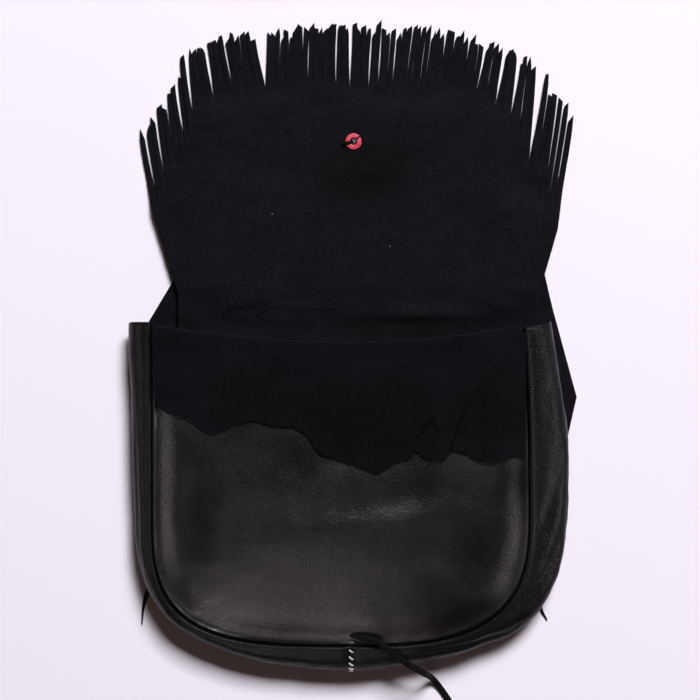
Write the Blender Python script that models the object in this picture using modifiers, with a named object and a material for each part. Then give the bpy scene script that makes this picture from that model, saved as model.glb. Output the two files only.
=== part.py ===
# Fringe bag lying on its back with its flap opened flat. Metres, Z up.
# X runs to the right across the bag, Y runs from the bag's bottom to the fringe tips, and the floor is Z = 0.
import bisect
import math
import random

import bmesh
import bpy
from mathutils import Vector

MM = 0.001
CLEARANCE = 0.3 * MM

# Leather
PANEL_LEATHER = 1.5 * MM
FLAP_LEATHER = 1.5 * MM
STRAP_LEATHER = 1.8 * MM

# Front panel outline, at the seam
FRONT_LEFT = 125.0 * MM
FRONT_RIGHT = 112.0 * MM
FRONT_TOP = 103.0 * MM
FRONT_BOTTOM = -96.0 * MM
FRONT_SEAM_HEIGHT = 27.0 * MM
MOUTH_LEAN = 4.0 * MM
MOUTH_SAG = 10.5 * MM
MOUTH_DIP = 3.5 * MM

# Back panel outline, at the seam
BACK_LEFT = 110.0 * MM
BACK_RIGHT = 118.0 * MM
BACK_TOP = 104.0 * MM
BACK_BOTTOM = -88.0 * MM

# Both outlines are straight above this line and rounded below it
CORNER_START = -10.0 * MM
CORNER_SQUARENESS_LEFT = 3.4
CORNER_SQUARENESS_RIGHT = 3.0

# Turned seams
SEAM_LIP = 6.0 * MM
SEAM_ROUND = 2.0 * MM
PANEL_PUFF = 1.8 * MM
PANEL_CROWN = 4.5 * MM

# How far the gusset bulges past the front seam, from the left mouth round the bottom to the right mouth
GUSSET_BULGE = [
    (0.0, 16), (0.16, 12), (0.24, 9.5), (0.34, 10), (0.42, 14.5), (0.5, 17.5), (0.6, 13.5), (0.68, 14),
    (0.77, 21), (0.86, 25.5), (0.915, 26), (0.96, 22.5), (1.0, 18.5),
]
GUSSET_WIDEST_HEIGHT = 14.0 * MM

# The upper half of the back lies on the two strap ends
BACK_LIFT = STRAP_LEATHER + 0.4 * MM
LIFT_START = 8.0 * MM
LIFT_END = 25.0 * MM

# Turned-over top of the front panel: length of the turned part from left to right
CUFF_FOLD_RADIUS = 0.7 * MM
CUFF_REST_GAP = 0.5 * MM
CUFF_OVERHANG = 2.4 * MM
CUFF_LENGTH = [
    (0.0, 41), (0.04, 51), (0.1, 55.5), (0.145, 62.5), (0.18, 62), (0.21, 57), (0.25, 53), (0.38, 53.5),
    (0.42, 57), (0.45, 68), (0.54, 74), (0.58, 79), (0.66, 73), (0.7, 70), (0.74, 75), (0.79, 76),
    (0.81, 73), (0.87, 82), (0.92, 83.5), (1.0, 82),
]

# Flap: plan of the root, of the line where the fringe cuts start, and of the strand tips
STRANDS = 86
FLAP_ROOT_Y = BACK_TOP + CLEARANCE
FLAP_ROOT_X = (-110.0 * MM, 118.0 * MM)
FLAP_CUT_X = (-126.5 * MM, 131.0 * MM)
FLAP_TIP_X = (-134.0 * MM, 140.5 * MM)
FLAP_WIDENING = [(0.0, 0.0), (0.28, 0.02), (0.42, 0.2), (1.0, 1.0)]
FRINGE_CUTS = [
    (0.0, 178), (0.04, 192), (0.07, 212), (0.1, 226), (0.15, 248), (0.21, 256), (0.5, 257),
    (0.79, 255), (0.86, 240), (0.92, 212), (0.955, 180), (1.0, 166),
]
FRINGE_TIPS = [
    (0.0, 227), (0.05, 249), (0.08, 261), (0.1, 277), (0.16, 287), (0.25, 293), (0.36, 296), (0.53, 298),
    (0.64, 296), (0.75, 291), (0.86, 281), (0.92, 273), (0.95, 257), (0.985, 245), (1.0, 233),
]
FRINGE_PARTINGS = [(0.28, 2.6 * MM), (0.93, 2.2 * MM)]
PARTING_REACH = 12
STRAND_GAP = 0.09
FLAP_PROFILE = [
    (104, 2.6), (112, 4.0), (132, 10.9), (140, 11.3), (176, 11.3), (184, 10.9),
    (208, 6.2), (214, 6.0), (232, 6.0), (238, 5.7), (258, 1.2), (270, 0.8), (300, 0.6),
]

# Shoulder strap, folded up behind the flap
STRAP_WIDTH = 30.0 * MM
STRAP_STACK_Y = 158.0 * MM
STRAP_PITCH = STRAP_LEATHER + CLEARANCE
STRAP_LEFT_END = (-126.0 * MM, 84.0 * MM)
STRAP_LEFT_AIM = (0.512, 0.859)
STRAP_RIGHT_END = (129.8 * MM, 55.6 * MM)
STRAP_RIGHT_AIM = (0.2615, -0.965)
STRAP_POINT = 25.0 * MM
STRAP_TURN_RIGHT = 96.0 * MM
STRAP_TURN_LEFT = -88.0 * MM

# Washer, outer button and the lace that holds them
BUTTON_PLACE = (1.6 * MM, 222.2 * MM)
WASHER_RADIUS = 5.2 * MM
WASHER_HOLE = 1.6 * MM
WASHER_HEIGHT = 1.5 * MM
BUTTON_RADIUS = 9.0 * MM
BUTTON_HEIGHT = 2.6 * MM
BUTTON_LACE_RADIUS = 1.1 * MM
FLAP_HOLE_RADIUS = 1.7 * MM

# Laces
LACE_WIDTH = 4.0 * MM
LACE_THICKNESS = 2.0 * MM
TAIL_WIDTH = 3.0 * MM
TAIL_THICKNESS = 1.6 * MM

# White stitches over the gusset's centre joint
STITCH_COUNT = 8
STITCH_PITCH = 4.5 * MM
STITCH_LENGTH = 3.4 * MM
STITCH_RADIUS = 0.45 * MM
STITCH_SLANT = 1.3 * MM

# Mesh fineness
HALF_COLUMNS = 12
SIDE_ROWS = 7
CORNER_ROWS = 8

# Flap hinge, along the mouth at mid depth of the closed bag
HINGE_Y = 100.0 * MM
HINGE_Z = 25.0 * MM


def profile(pairs, place):
    """Height of a smooth line through (place, value) pairs."""
    places = [pair[0] for pair in pairs]
    after = min(max(bisect.bisect_right(places, place), 1), len(pairs) - 1)
    (start, low), (end, high) = pairs[after - 1], pairs[after]
    step = min(max((place - start) / (end - start), 0.0), 1.0)
    return low + (high - low) * step * step * (3 - 2 * step)


def straight_profile(pairs, place):
    """Height of a line of straight runs through (place, value) pairs."""
    places = [pair[0] for pair in pairs]
    after = min(max(bisect.bisect_right(places, place), 1), len(pairs) - 1)
    (start, low), (end, high) = pairs[after - 1], pairs[after]
    step = min(max((place - start) / (end - start), 0.0), 1.0)
    return low + (high - low) * step


def smooth_step(value, start, end):
    step = min(max((value - start) / (end - start), 0.0), 1.0)
    return step * step * (3 - 2 * step)


def new_collection(name):
    collection = bpy.data.collections.new(name)
    bpy.context.scene.collection.children.link(collection)
    return collection


def material(name, color, roughness):
    made = bpy.data.materials.new(name)
    made.use_nodes = True
    shader = made.node_tree.nodes["Principled BSDF"]
    shader.inputs["Base Color"].default_value = (*color, 1.0)
    shader.inputs["Roughness"].default_value = roughness
    return made


def add_object(name, data, surface, collection):
    made = bpy.data.objects.new(name, data)
    data.materials.append(surface)
    collection.objects.link(made)
    return made


def mesh_object(name, vertices, faces, surface, collection):
    mesh = bpy.data.meshes.new(name)
    mesh.from_pydata(vertices, [], faces)
    mesh.validate()
    work = bmesh.new()
    work.from_mesh(mesh)
    bmesh.ops.recalc_face_normals(work, faces=work.faces)
    work.to_mesh(mesh)
    work.free()
    return add_object(name, mesh, surface, collection)


def thicken(leather, thickness, offset):
    solidify = leather.modifiers.new("leather thickness", "SOLIDIFY")
    solidify.thickness = thickness
    solidify.offset = offset
    solidify.use_even_offset = True
    solidify.use_rim = True


def face_up(leather, upward):
    """Turn the sheet over when its first face looks the wrong way."""
    mesh = leather.data
    if (mesh.polygons[0].normal.z > 0) != upward:
        mesh.flip_normals()


def smooth(made):
    made.data.shade_smooth()


# Outlines shared by the panels and the gusset


class Outline:
    """A pouch outline: straight sides above CORNER_START and a rounded bottom below it."""

    def __init__(self, left, right, top, bottom, lean=0.0, sag=0.0):
        self.left, self.right, self.top, self.bottom = left, right, top, bottom
        self.lean, self.sag = lean, sag

    def point(self, across, down):
        """Plan position for across in -1..1 and down in -1 (mouth) .. 0 (corner start) .. 1 (bottom)."""
        half = self.left if across < 0 else self.right
        square = CORNER_SQUARENESS_LEFT if across < 0 else CORNER_SQUARENESS_RIGHT
        if down <= 0:
            height = self.top - self.sag * (1 - across * across) - CORNER_START
            lean = self.lean * max(across, 0.0) * down * down
            return Vector((half * across - lean, CORNER_START - down * height))
        reach = max(abs(across), down)
        norm = (abs(across) ** square + down**square) ** (1 / square)
        fit = reach / norm
        return Vector((half * across * fit, CORNER_START + down * fit * (self.bottom - CORNER_START)))

    def inset(self, amount):
        return Outline(
            self.left - amount, self.right - amount, self.top, self.bottom + amount, self.lean, self.sag
        )


def grid_places():
    across = [i / HALF_COLUMNS for i in range(-HALF_COLUMNS, HALF_COLUMNS + 1)]
    down = [j / SIDE_ROWS for j in range(-SIDE_ROWS, 0)] + [j / CORNER_ROWS for j in range(CORNER_ROWS + 1)]
    return across, down


def edge_places():
    """The (across, down) places along an outline, from the left mouth round the bottom to the right mouth."""
    across, down = grid_places()
    left = [(-1.0, d) for d in down]
    bottom = [(a, 1.0) for a in across[1:-1]]
    right = [(1.0, d) for d in reversed(down)]
    return left + bottom + right


def outward_aims(points):
    aims = []
    for index in range(len(points)):
        before = points[max(index - 1, 0)]
        after = points[min(index + 1, len(points) - 1)]
        along = (after - before).normalized()
        aims.append(Vector((along.y * -1, along.x)) * -1)
    return aims


FRONT = Outline(FRONT_LEFT, FRONT_RIGHT, FRONT_TOP, FRONT_BOTTOM, MOUTH_LEAN)
BACK = Outline(BACK_LEFT, BACK_RIGHT, BACK_TOP, BACK_BOTTOM)


def back_lift(y):
    return BACK_LIFT * smooth_step(y, LIFT_START, LIFT_END)


def panel_reach(across, down):
    return max(abs(across), down)


def front_height(across, down):
    """Height of the front panel's grain side."""
    reach = panel_reach(across, down)
    mouth = max(-down, 0.0) ** 2
    crown = PANEL_CROWN * (1 - reach * reach) * (1 - mouth)
    dip = MOUTH_DIP * mouth * (1 - across * across)
    return FRONT_SEAM_HEIGHT + PANEL_PUFF + crown - dip


def panel_mesh(edge_points, aims, inside, inside_height, rings):
    """Vertices and faces of a panel: a grid inside and rings of (outward offset, height) round its three sewn edges."""
    across, down = grid_places()
    vertices, faces = [], []
    for d in down:
        for a in across:
            place = inside.point(a, d)
            vertices.append((place.x, place.y, inside_height(a, d, place)))
    wide = len(across)
    for row in range(len(down) - 1):
        for column in range(wide - 1):
            corner = row * wide + column
            faces.append((corner, corner + 1, corner + wide + 1, corner + wide))
    rows = len(down)
    edge = [row * wide for row in range(rows)]
    edge += [(rows - 1) * wide + column for column in range(1, wide - 1)]
    edge += [row * wide + wide - 1 for row in reversed(range(rows))]
    previous = edge
    for ring in rings:
        current = []
        for index, (point, aim) in enumerate(zip(edge_points, aims)):
            offset, height = ring(point)
            place = point + aim * offset
            current.append(len(vertices))
            vertices.append((place.x, place.y, height))
        for index in range(len(edge) - 1):
            faces.append((previous[index], previous[index + 1], current[index + 1], current[index]))
        previous = current
    return vertices, faces


# Leather pieces of the pouch


def seam_rings(seam_level, side, turn):
    """Rings that round a panel's edge over and carry it into the pouch as a seam lip."""
    gap = CLEARANCE / 2

    def ring(inward, drop):
        return lambda point: (side * (gap + inward * SEAM_ROUND), seam_level(point) + turn * drop)

    return [
        ring(0.65, -0.02 * SEAM_ROUND),
        ring(0.22, 0.32 * SEAM_ROUND),
        ring(0.0, SEAM_ROUND),
        ring(0.0, SEAM_LIP),
    ]


def build_front_panel(surface, collection):
    places = edge_places()
    points = [FRONT.point(a, d) for a, d in places]
    aims = outward_aims(points)
    inside = FRONT.inset(3.0 * MM)
    inside.sag = MOUTH_SAG
    rings = seam_rings(lambda point: FRONT_SEAM_HEIGHT + 0.6 * MM, -1, -1)
    vertices, faces = panel_mesh(points, aims, inside, lambda a, d, place: front_height(a, d), rings)
    add_cuff(vertices, faces, inside)
    panel = mesh_object("front_panel", vertices, faces, surface, collection)
    face_up(panel, True)
    thicken(panel, PANEL_LEATHER, -1.0)
    smooth(panel)
    return panel


def add_cuff(vertices, faces, inside):
    """Fold the top of the front panel outward and lay it down over the panel, as far as its natural edge."""
    across, _ = grid_places()
    wide = len(across)
    previous = list(range(wide))
    rows = [("fold", angle) for angle in (-45, 0, 45, 90)]
    rows += [("lie", share) for share in (0.12, 0.3, 0.5, 0.7, 0.86, 1.0)]
    for kind, amount in rows:
        current = []
        for column, a in enumerate(across):
            mouth = inside.point(a, -1.0)
            if kind == "fold":
                turn = math.radians(amount)
                y = mouth.y + CUFF_FOLD_RADIUS * math.cos(turn)
                z = front_height(a, -1.0) + CUFF_FOLD_RADIUS * (1 + math.sin(turn))
            else:
                length = straight_profile(CUFF_LENGTH, (a + 1) / 2) * MM
                y = mouth.y - amount * length
                down = -(y - CORNER_START) / (mouth.y - CORNER_START)
                settle = smooth_step(amount, 0.0, 0.3)
                gap = 2 * CUFF_FOLD_RADIUS * (1 - settle) + CUFF_REST_GAP * settle
                z = front_height(a, down) + gap
            overhang = CUFF_OVERHANG * a**9 if kind == "lie" else 0.0
            current.append(len(vertices))
            vertices.append((mouth.x + overhang, y, z))
        for column in range(wide - 1):
            faces.append((previous[column], previous[column + 1], current[column + 1], current[column]))
        previous = current


def build_back_panel(surface, collection):
    places = edge_places()
    points = [BACK.point(a, d) for a, d in places]
    aims = outward_aims(points)
    rings = seam_rings(lambda point: back_lift(point.y), -1, 1)
    inside = BACK.inset(3.0 * MM)
    vertices, faces = panel_mesh(points, aims, inside, lambda a, d, place: back_lift(place.y), rings)
    panel = mesh_object("back_panel", vertices, faces, surface, collection)
    face_up(panel, False)
    thicken(panel, PANEL_LEATHER, -1.0)
    smooth(panel)
    return panel


def gusset_section(front, front_aim, back, back_aim, bulge):
    """Points across the gusset, from its front seam lip over the outside to its back seam lip."""
    gap = CLEARANCE / 2
    level = FRONT_SEAM_HEIGHT + 0.6 * MM
    lift = back_lift(back.y)
    section = [
        (front + front_aim * gap, level - SEAM_LIP),
        (front + front_aim * gap, level - SEAM_ROUND),
        (front + front_aim * (gap + 0.3 * SEAM_ROUND), level - 0.3 * SEAM_ROUND),
        (front + front_aim * (gap + SEAM_ROUND), level),
    ]
    crest = gap + SEAM_ROUND
    for degrees in (66, 44, 22, 0):
        turn = math.radians(degrees)
        reach = crest + (bulge - crest) * math.cos(turn)
        height = GUSSET_WIDEST_HEIGHT + (level - GUSSET_WIDEST_HEIGHT) * math.sin(turn)
        section.append((front + front_aim * reach, height))
    widest = front + front_aim * bulge
    under = back + back_aim * (gap + SEAM_ROUND)
    for degrees in (25, 50, 70, 90):
        turn = math.radians(degrees)
        place = under + (widest - under) * math.cos(turn)
        height = GUSSET_WIDEST_HEIGHT - (GUSSET_WIDEST_HEIGHT - lift) * math.sin(turn)
        section.append((place, height))
    section += [
        (back + back_aim * (gap + 0.3 * SEAM_ROUND), lift + 0.3 * SEAM_ROUND),
        (back + back_aim * gap, lift + SEAM_ROUND),
        (back + back_aim * gap, lift + SEAM_LIP),
    ]
    return [Vector((place.x, place.y, height)) for place, height in section]


def gusset_sections():
    places = edge_places()
    front = [FRONT.point(a, d) for a, d in places]
    back = [BACK.point(a, d) for a, d in places]
    front_aims, back_aims = outward_aims(front), outward_aims(back)
    sections = []
    for index in range(len(places)):
        share = index / (len(places) - 1)
        bulge = profile(GUSSET_BULGE, share) * MM
        sections.append(gusset_section(front[index], front_aims[index], back[index], back_aims[index], bulge))
    return sections


def build_gusset(name, sections, surface, collection):
    across = len(sections[0])
    vertices = [tuple(point) for section in sections for point in section]
    faces = []
    for row in range(len(sections) - 1):
        for column in range(across - 1):
            corner = row * across + column
            faces.append((corner, corner + 1, corner + across + 1, corner + across))
    gusset = mesh_object(name, vertices, faces, surface, collection)
    widest = gusset.data.polygons[(len(sections) // 4) * (across - 1) + 6]
    if widest.normal.x * widest.center.x < 0:
        gusset.data.flip_normals()
    thicken(gusset, PANEL_LEATHER, -1.0)
    smooth(gusset)
    return gusset


def build_gussets(surface, collection):
    """Two halves that meet at the bottom centre, each half held off the joint by half the clearance."""
    sections = gusset_sections()
    middle = len(sections) // 2
    left, right = sections[: middle + 1], sections[middle:]
    half_gap = Vector((CLEARANCE / 2, 0, 0))
    left[-1] = [point - half_gap for point in left[-1]]
    right[0] = [point + half_gap for point in right[0]]
    build_gusset("gusset_left", left, surface, collection)
    build_gusset("gusset_right", right, surface, collection)


def build_stitches(surface, collection):
    """Slanted stitches that follow the gusset's outside from the front seam down to where it turns under."""
    sections = gusset_sections()
    outside = sections[len(sections) // 2][3:10]
    travelled = [0.0]
    for start, end in zip(outside, outside[1:]):
        travelled.append(travelled[-1] + (end - start).length)
    first = 2.2 * MM
    stand_off = STITCH_RADIUS + CLEARANCE + 0.15 * MM
    for number in range(STITCH_COUNT):
        ends = []
        for side in (-1, 1):
            along = first + number * STITCH_PITCH + side * (STITCH_LENGTH / 2)
            along = max(along, 0.0)
            index = min(max(bisect.bisect_right(travelled, along), 1), len(outside) - 1)
            step = (along - travelled[index - 1]) / (travelled[index] - travelled[index - 1])
            run = outside[index] - outside[index - 1]
            out = Vector((0, run.z, -run.y)).normalized()
            point = outside[index - 1] + run * step + out * stand_off * (1 if out.y < 0 or out.z > 0 else -1)
            ends.append(point + Vector((side * STITCH_SLANT / 2, 0, 0)))
        tube(f"gusset_stitch_{number + 1}", ends, STITCH_RADIUS, surface, collection)


def tube(name, points, radius, surface, collection, flat_by=0.0, radii=None):
    """A lace or thread along the points: round, or flat when flat_by widens it sideways."""
    curve = bpy.data.curves.new(name, "CURVE")
    curve.dimensions = "3D"
    curve.twist_mode = "Z_UP"
    curve.bevel_depth = radius
    curve.bevel_resolution = 2
    curve.extrude = flat_by
    curve.use_fill_caps = True
    spline = curve.splines.new("POLY")
    spline.points.add(len(points) - 1)
    for index, point in enumerate(points):
        spline.points[index].co = (*point, 1.0)
        spline.points[index].tilt = math.pi / 2 if flat_by else 0.0
        spline.points[index].radius = radii[index] if radii else 1.0
    return add_object(name, curve, surface, collection)


# Flap with its fringe


def parting(strand):
    """Sideways push at a strand's tip, away from the places where the fringe has parted."""
    push = 0.0
    for place, amount in FRINGE_PARTINGS:
        away = strand + 0.5 - place * STRANDS
        push += math.copysign(amount, away) * math.exp(-abs(away) / PARTING_REACH)
    return push


def between(ends, share):
    return ends[0] + (ends[1] - ends[0]) * share


def flap_height(y):
    return profile(FLAP_PROFILE, y / MM) * MM


FIELD_ROWS = (0.0, 0.07, 0.14, 0.21, 0.32, 0.42, 0.56, 0.7, 0.8, 0.9, 1.0)


def build_flap(surface, collection):
    """One piece of leather: a field of columns that end in free strands."""
    chance = random.Random(7)
    vertices, faces = [], []
    field = []
    for line in range(STRANDS + 1):
        share = line / STRANDS
        cut_y = profile(FRINGE_CUTS, share) * MM
        cut_x = between(FLAP_CUT_X, share)
        root_x = between(FLAP_ROOT_X, share)
        column = []
        for amount in FIELD_ROWS:
            y = FLAP_ROOT_Y + (cut_y - FLAP_ROOT_Y) * amount
            column.append(len(vertices))
            widening = straight_profile(FLAP_WIDENING, amount)
            vertices.append((root_x + (cut_x - root_x) * widening, y, flap_height(y)))
        field.append(column)
    for line in range(STRANDS):
        for row in range(len(FIELD_ROWS) - 1):
            faces.append((field[line][row], field[line + 1][row], field[line + 1][row + 1], field[line][row + 1]))
    for strand in range(STRANDS):
        add_strand(strand, field, vertices, faces, chance)
    flap = mesh_object("flap", vertices, faces, surface, collection)
    face_up(flap, True)
    thicken(flap, FLAP_LEATHER, 1.0)
    return flap


def add_strand(strand, field, vertices, faces, chance):
    """A free strand: it narrows a little, leans with its neighbours and ends in a slanted cut."""
    left, right = field[strand][-1], field[strand + 1][-1]
    pitch = (FLAP_TIP_X[1] - FLAP_TIP_X[0]) / STRANDS
    share = (strand + 0.5) / STRANDS
    tip_x = between(FLAP_TIP_X, share) + parting(strand) + chance.uniform(-0.04, 0.04) * pitch
    tip_y = profile(FRINGE_TIPS, share) * MM + chance.uniform(-4.5, 0.0) * MM
    half = pitch * (0.5 - STRAND_GAP)
    slant = chance.uniform(2.0, 5.0) * MM * chance.choice((-1, 1))
    low_left, low_right = Vector(vertices[left]), Vector(vertices[right])
    middle = (low_left + low_right) / 2
    for amount in (0.35, 0.7, 1.0):
        centre_x = middle.x + (tip_x - middle.x) * amount
        pair = []
        for side, start in ((-1, low_left), (1, low_right)):
            lean = slant * side / 2 if amount == 1.0 else 0.0
            y = start.y + (tip_y - start.y) * amount + lean
            width = half * (0.55 if amount == 1.0 else 1.0)
            pair.append(len(vertices))
            vertices.append((centre_x + side * width, y, flap_height(y)))
        faces.append((left, right, pair[1], pair[0]))
        left, right = pair


# Shoulder strap


def crease(place, aim_in, aim_out):
    """The two ends of the line about which a flat strap folds from one direction into the other."""
    line = Vector(aim_in) + Vector(aim_out)
    if line.length < 1e-6:
        line = Vector((-aim_in[1], aim_in[0]))
    line.normalize()
    across = abs(line.x * aim_in[1] - line.y * aim_in[0])
    half = STRAP_WIDTH / 2 / across
    side = Vector((-aim_in[1], aim_in[0]))
    line = line if line.dot(side) > 0 else -line
    return Vector(place) + line * half, Vector(place) - line * half


def build_strap(surface, collection):
    left_aim, right_aim = Vector(STRAP_LEFT_AIM).normalized(), Vector(STRAP_RIGHT_AIM).normalized()
    left_end, right_end = Vector(STRAP_LEFT_END), Vector(STRAP_RIGHT_END)
    left_turn = left_end + left_aim * ((STRAP_STACK_Y - left_end.y) / left_aim.y)
    right_turn = right_end - right_aim * ((right_end.y - STRAP_STACK_Y) / right_aim.y)
    rightward, leftward = Vector((1, 0)), Vector((-1, 0))
    turns = [
        (left_turn, left_aim, rightward),
        (Vector((STRAP_TURN_RIGHT, STRAP_STACK_Y)), rightward, leftward),
        (Vector((STRAP_TURN_LEFT, STRAP_STACK_Y)), leftward, rightward),
        (right_turn, rightward, right_aim),
    ]
    bend = STRAP_PITCH / 2
    side = Vector((-left_aim.y, left_aim.x)) * STRAP_WIDTH / 2
    rows = [(left_end + side, left_end - side, 0.0)]
    flipped = 1
    for level, (place, aim_in, aim_out) in enumerate(turns):
        first, second = crease(place, aim_in, aim_out)
        if flipped < 0:
            first, second = second, first
        fold_line = (first - second).normalized()
        push = aim_in - fold_line * aim_in.dot(fold_line)
        push.normalize()
        for degrees in (-90, -50, 0, 50, 90):
            turn = math.radians(degrees)
            out = push * bend * math.cos(turn)
            rows.append((first + out, second + out, level * STRAP_PITCH + bend * (1 + math.sin(turn))))
        flipped = -flipped
    top = len(turns) * STRAP_PITCH
    side = Vector((-right_aim.y, right_aim.x)) * STRAP_WIDTH / 2 * flipped
    for distance, height in ((88, top), (76, top * 0.72), (62, top * 0.16), (54, 0.0), (0, 0.0)):
        place = right_end - right_aim * distance * MM
        rows.append((place + side, place - side, height))
    point = right_end + right_aim * STRAP_POINT
    rows.append((point + side * 0.12, point - side * 0.12, 0.0))
    vertices, faces = [], []
    for first, second, height in rows:
        middle = (first + second) / 2
        for place in (first, middle, second):
            vertices.append((place.x, place.y, height + STRAP_LEATHER / 2))
    for row in range(len(rows) - 1):
        for column in range(2):
            corner = row * 3 + column
            faces.append((corner, corner + 1, corner + 4, corner + 3))
    strap = mesh_object("shoulder_strap", vertices, faces, surface, collection)
    thicken(strap, STRAP_LEATHER, 0.0)
    return strap


# Washer, button and laces


def ring_disc(name, place, bottom, outer, hole, height, edge, surface, collection):
    """A flat round piece with a centre hole, turned from its half section."""
    section = [
        (hole, 0.0), (outer - edge, 0.0), (outer, edge), (outer, height - edge),
        (outer - edge, height), (hole, height),
    ]
    vertices = [(radius, 0.0, z) for radius, z in section]
    edges = [(index, (index + 1) % len(section)) for index in range(len(section))]
    mesh = bpy.data.meshes.new(name)
    mesh.from_pydata(vertices, edges, [])
    disc = add_object(name, mesh, surface, collection)
    disc.location = (*place, bottom)
    screw = disc.modifiers.new("turned", "SCREW")
    screw.angle = 2 * math.pi
    screw.steps = 32
    screw.render_steps = 32
    screw.use_merge_vertices = True
    screw.merge_threshold = 0.00001
    screw.use_normal_calculate = True
    smooth(disc)
    return disc


def build_button(washer_surface, button_surface, lace_surface, flap, collection, cutters):
    x, y = BUTTON_PLACE
    flap_under = flap_height(y)
    flap_top = flap_under + FLAP_LEATHER
    washer_bottom = flap_top + CLEARANCE
    washer = ring_disc(
        "backing_washer", BUTTON_PLACE, washer_bottom, WASHER_RADIUS, WASHER_HOLE, WASHER_HEIGHT,
        0.4 * MM, washer_surface, collection,
    )
    button_bottom = flap_under - CLEARANCE - BUTTON_HEIGHT
    button = ring_disc(
        "outer_button", BUTTON_PLACE, button_bottom, BUTTON_RADIUS, WASHER_HOLE, BUTTON_HEIGHT,
        0.7 * MM, button_surface, collection,
    )
    hole = bpy.data.meshes.new("flap_hole_cutter")
    work = bmesh.new()
    bmesh.ops.create_cone(
        work, segments=20, radius1=FLAP_HOLE_RADIUS, radius2=FLAP_HOLE_RADIUS, depth=8 * MM, cap_ends=True
    )
    work.to_mesh(hole)
    work.free()
    cutter = bpy.data.objects.new("flap_hole_cutter", hole)
    cutter.location = (x, y, flap_under + FLAP_LEATHER / 2)
    cutter.hide_render = True
    cutter.display_type = "WIRE"
    cutters.objects.link(cutter)
    cut = flap.modifiers.new("lace hole", "BOOLEAN")
    cut.operation = "DIFFERENCE"
    cut.solver = "EXACT"
    cut.object = cutter
    lace_top = washer_bottom + WASHER_HEIGHT + CLEARANCE + BUTTON_LACE_RADIUS
    flap_rest = flap_top + CLEARANCE + BUTTON_LACE_RADIUS
    knot = button_bottom - CLEARANCE - BUTTON_LACE_RADIUS
    points = [
        (x - 8.6 * MM, y - 2.4 * MM, flap_rest),
        (x - 6.6 * MM, y - 1.9 * MM, flap_rest + 1.2 * MM),
        (x - 4.6 * MM, y - 1.3 * MM, lace_top),
        (x - 1.6 * MM, y - 0.4 * MM, lace_top + 0.1 * MM),
        (x - 0.3 * MM, y, lace_top - 0.6 * MM),
        (x, y, lace_top - 2.0 * MM),
        (x, y, button_bottom - 0.1 * MM),
        (x + 0.3 * MM, y, knot - 0.05 * MM),
        (x + 1.6 * MM, y + 0.2 * MM, knot - 0.1 * MM),
        (x + 4.6 * MM, y + 1.0 * MM, knot - 0.1 * MM),
    ]
    lace = tube("button_lace", points, BUTTON_LACE_RADIUS, lace_surface, collection)
    return [washer, button, lace]


def smooth_route(route, steps=2):
    """Points of a smooth curve through the route's own points."""
    points = [Vector(place) * MM for place in route]
    ends = [points[0] * 2 - points[1], *points, points[-1] * 2 - points[-2]]
    curve = []
    for before, start, end, after in zip(ends, ends[1:], ends[2:], ends[3:]):
        for step in range(steps):
            t = step / steps
            near = start * (2 - 5 * t * t + 3 * t**3) + end * (t + 4 * t * t - 3 * t**3)
            far = before * (-t + 2 * t * t - t**3) + after * (t**3 - t * t)
            curve.append((near + far) / 2)
    return [*curve, points[-1]]


def build_laces(surface, collection):
    flat = LACE_WIDTH / 2 - LACE_THICKNESS / 2
    route = [
        (1, -89, 31.0), (7, -90, 31.8), (14, -91.5, 31.8), (20, -95, 31.2), (24.4, -98.5, 30.4), (29.5, -102.8, 29.4),
        (34.5, -106.6, 28.2), (40, -109.8, 26.4), (45.4, -113.4, 23.0), (48.6, -116.2, 15.0), (51, -118.6, 8.0),
        (53.5, -121.8, 3.2), (57, -126.4, 1.2), (61.6, -133, 1.1), (65, -139, 1.1), (70.5, -146, 1.1),
        (79, -152, 1.1), (90, -156, 1.1), (102, -157.5, 1.1), (115, -157, 1.1), (129, -154, 1.1),
    ]
    tube("closure_lace", smooth_route(route), LACE_THICKNESS / 2, surface, collection, flat_by=flat)
    tail = TAIL_WIDTH / 2 - TAIL_THICKNESS / 2
    floor = TAIL_THICKNESS / 2 / MM + 0.1
    left = [
        (-123.5, -44), (-124.5, -50), (-126.3, -56), (-128.8, -62.5), (-131.3, -69), (-132.9, -76), (-133.8, -86),
    ]
    right = [
        (127.5, -46), (126.5, -53), (125, -60), (122.8, -66.5), (120.9, -72), (122.2, -77.5), (125.4, -83),
    ]
    for name, places in (("lace_tail_left", left), ("lace_tail_right", right)):
        points = smooth_route([(x, y, floor) for x, y in places])
        radii = [1.0] * 8 + [0.95, 0.85, 0.7, 0.55, 0.35]
        tube(name, points, TAIL_THICKNESS / 2, surface, collection, flat_by=tail, radii=radii)


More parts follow.
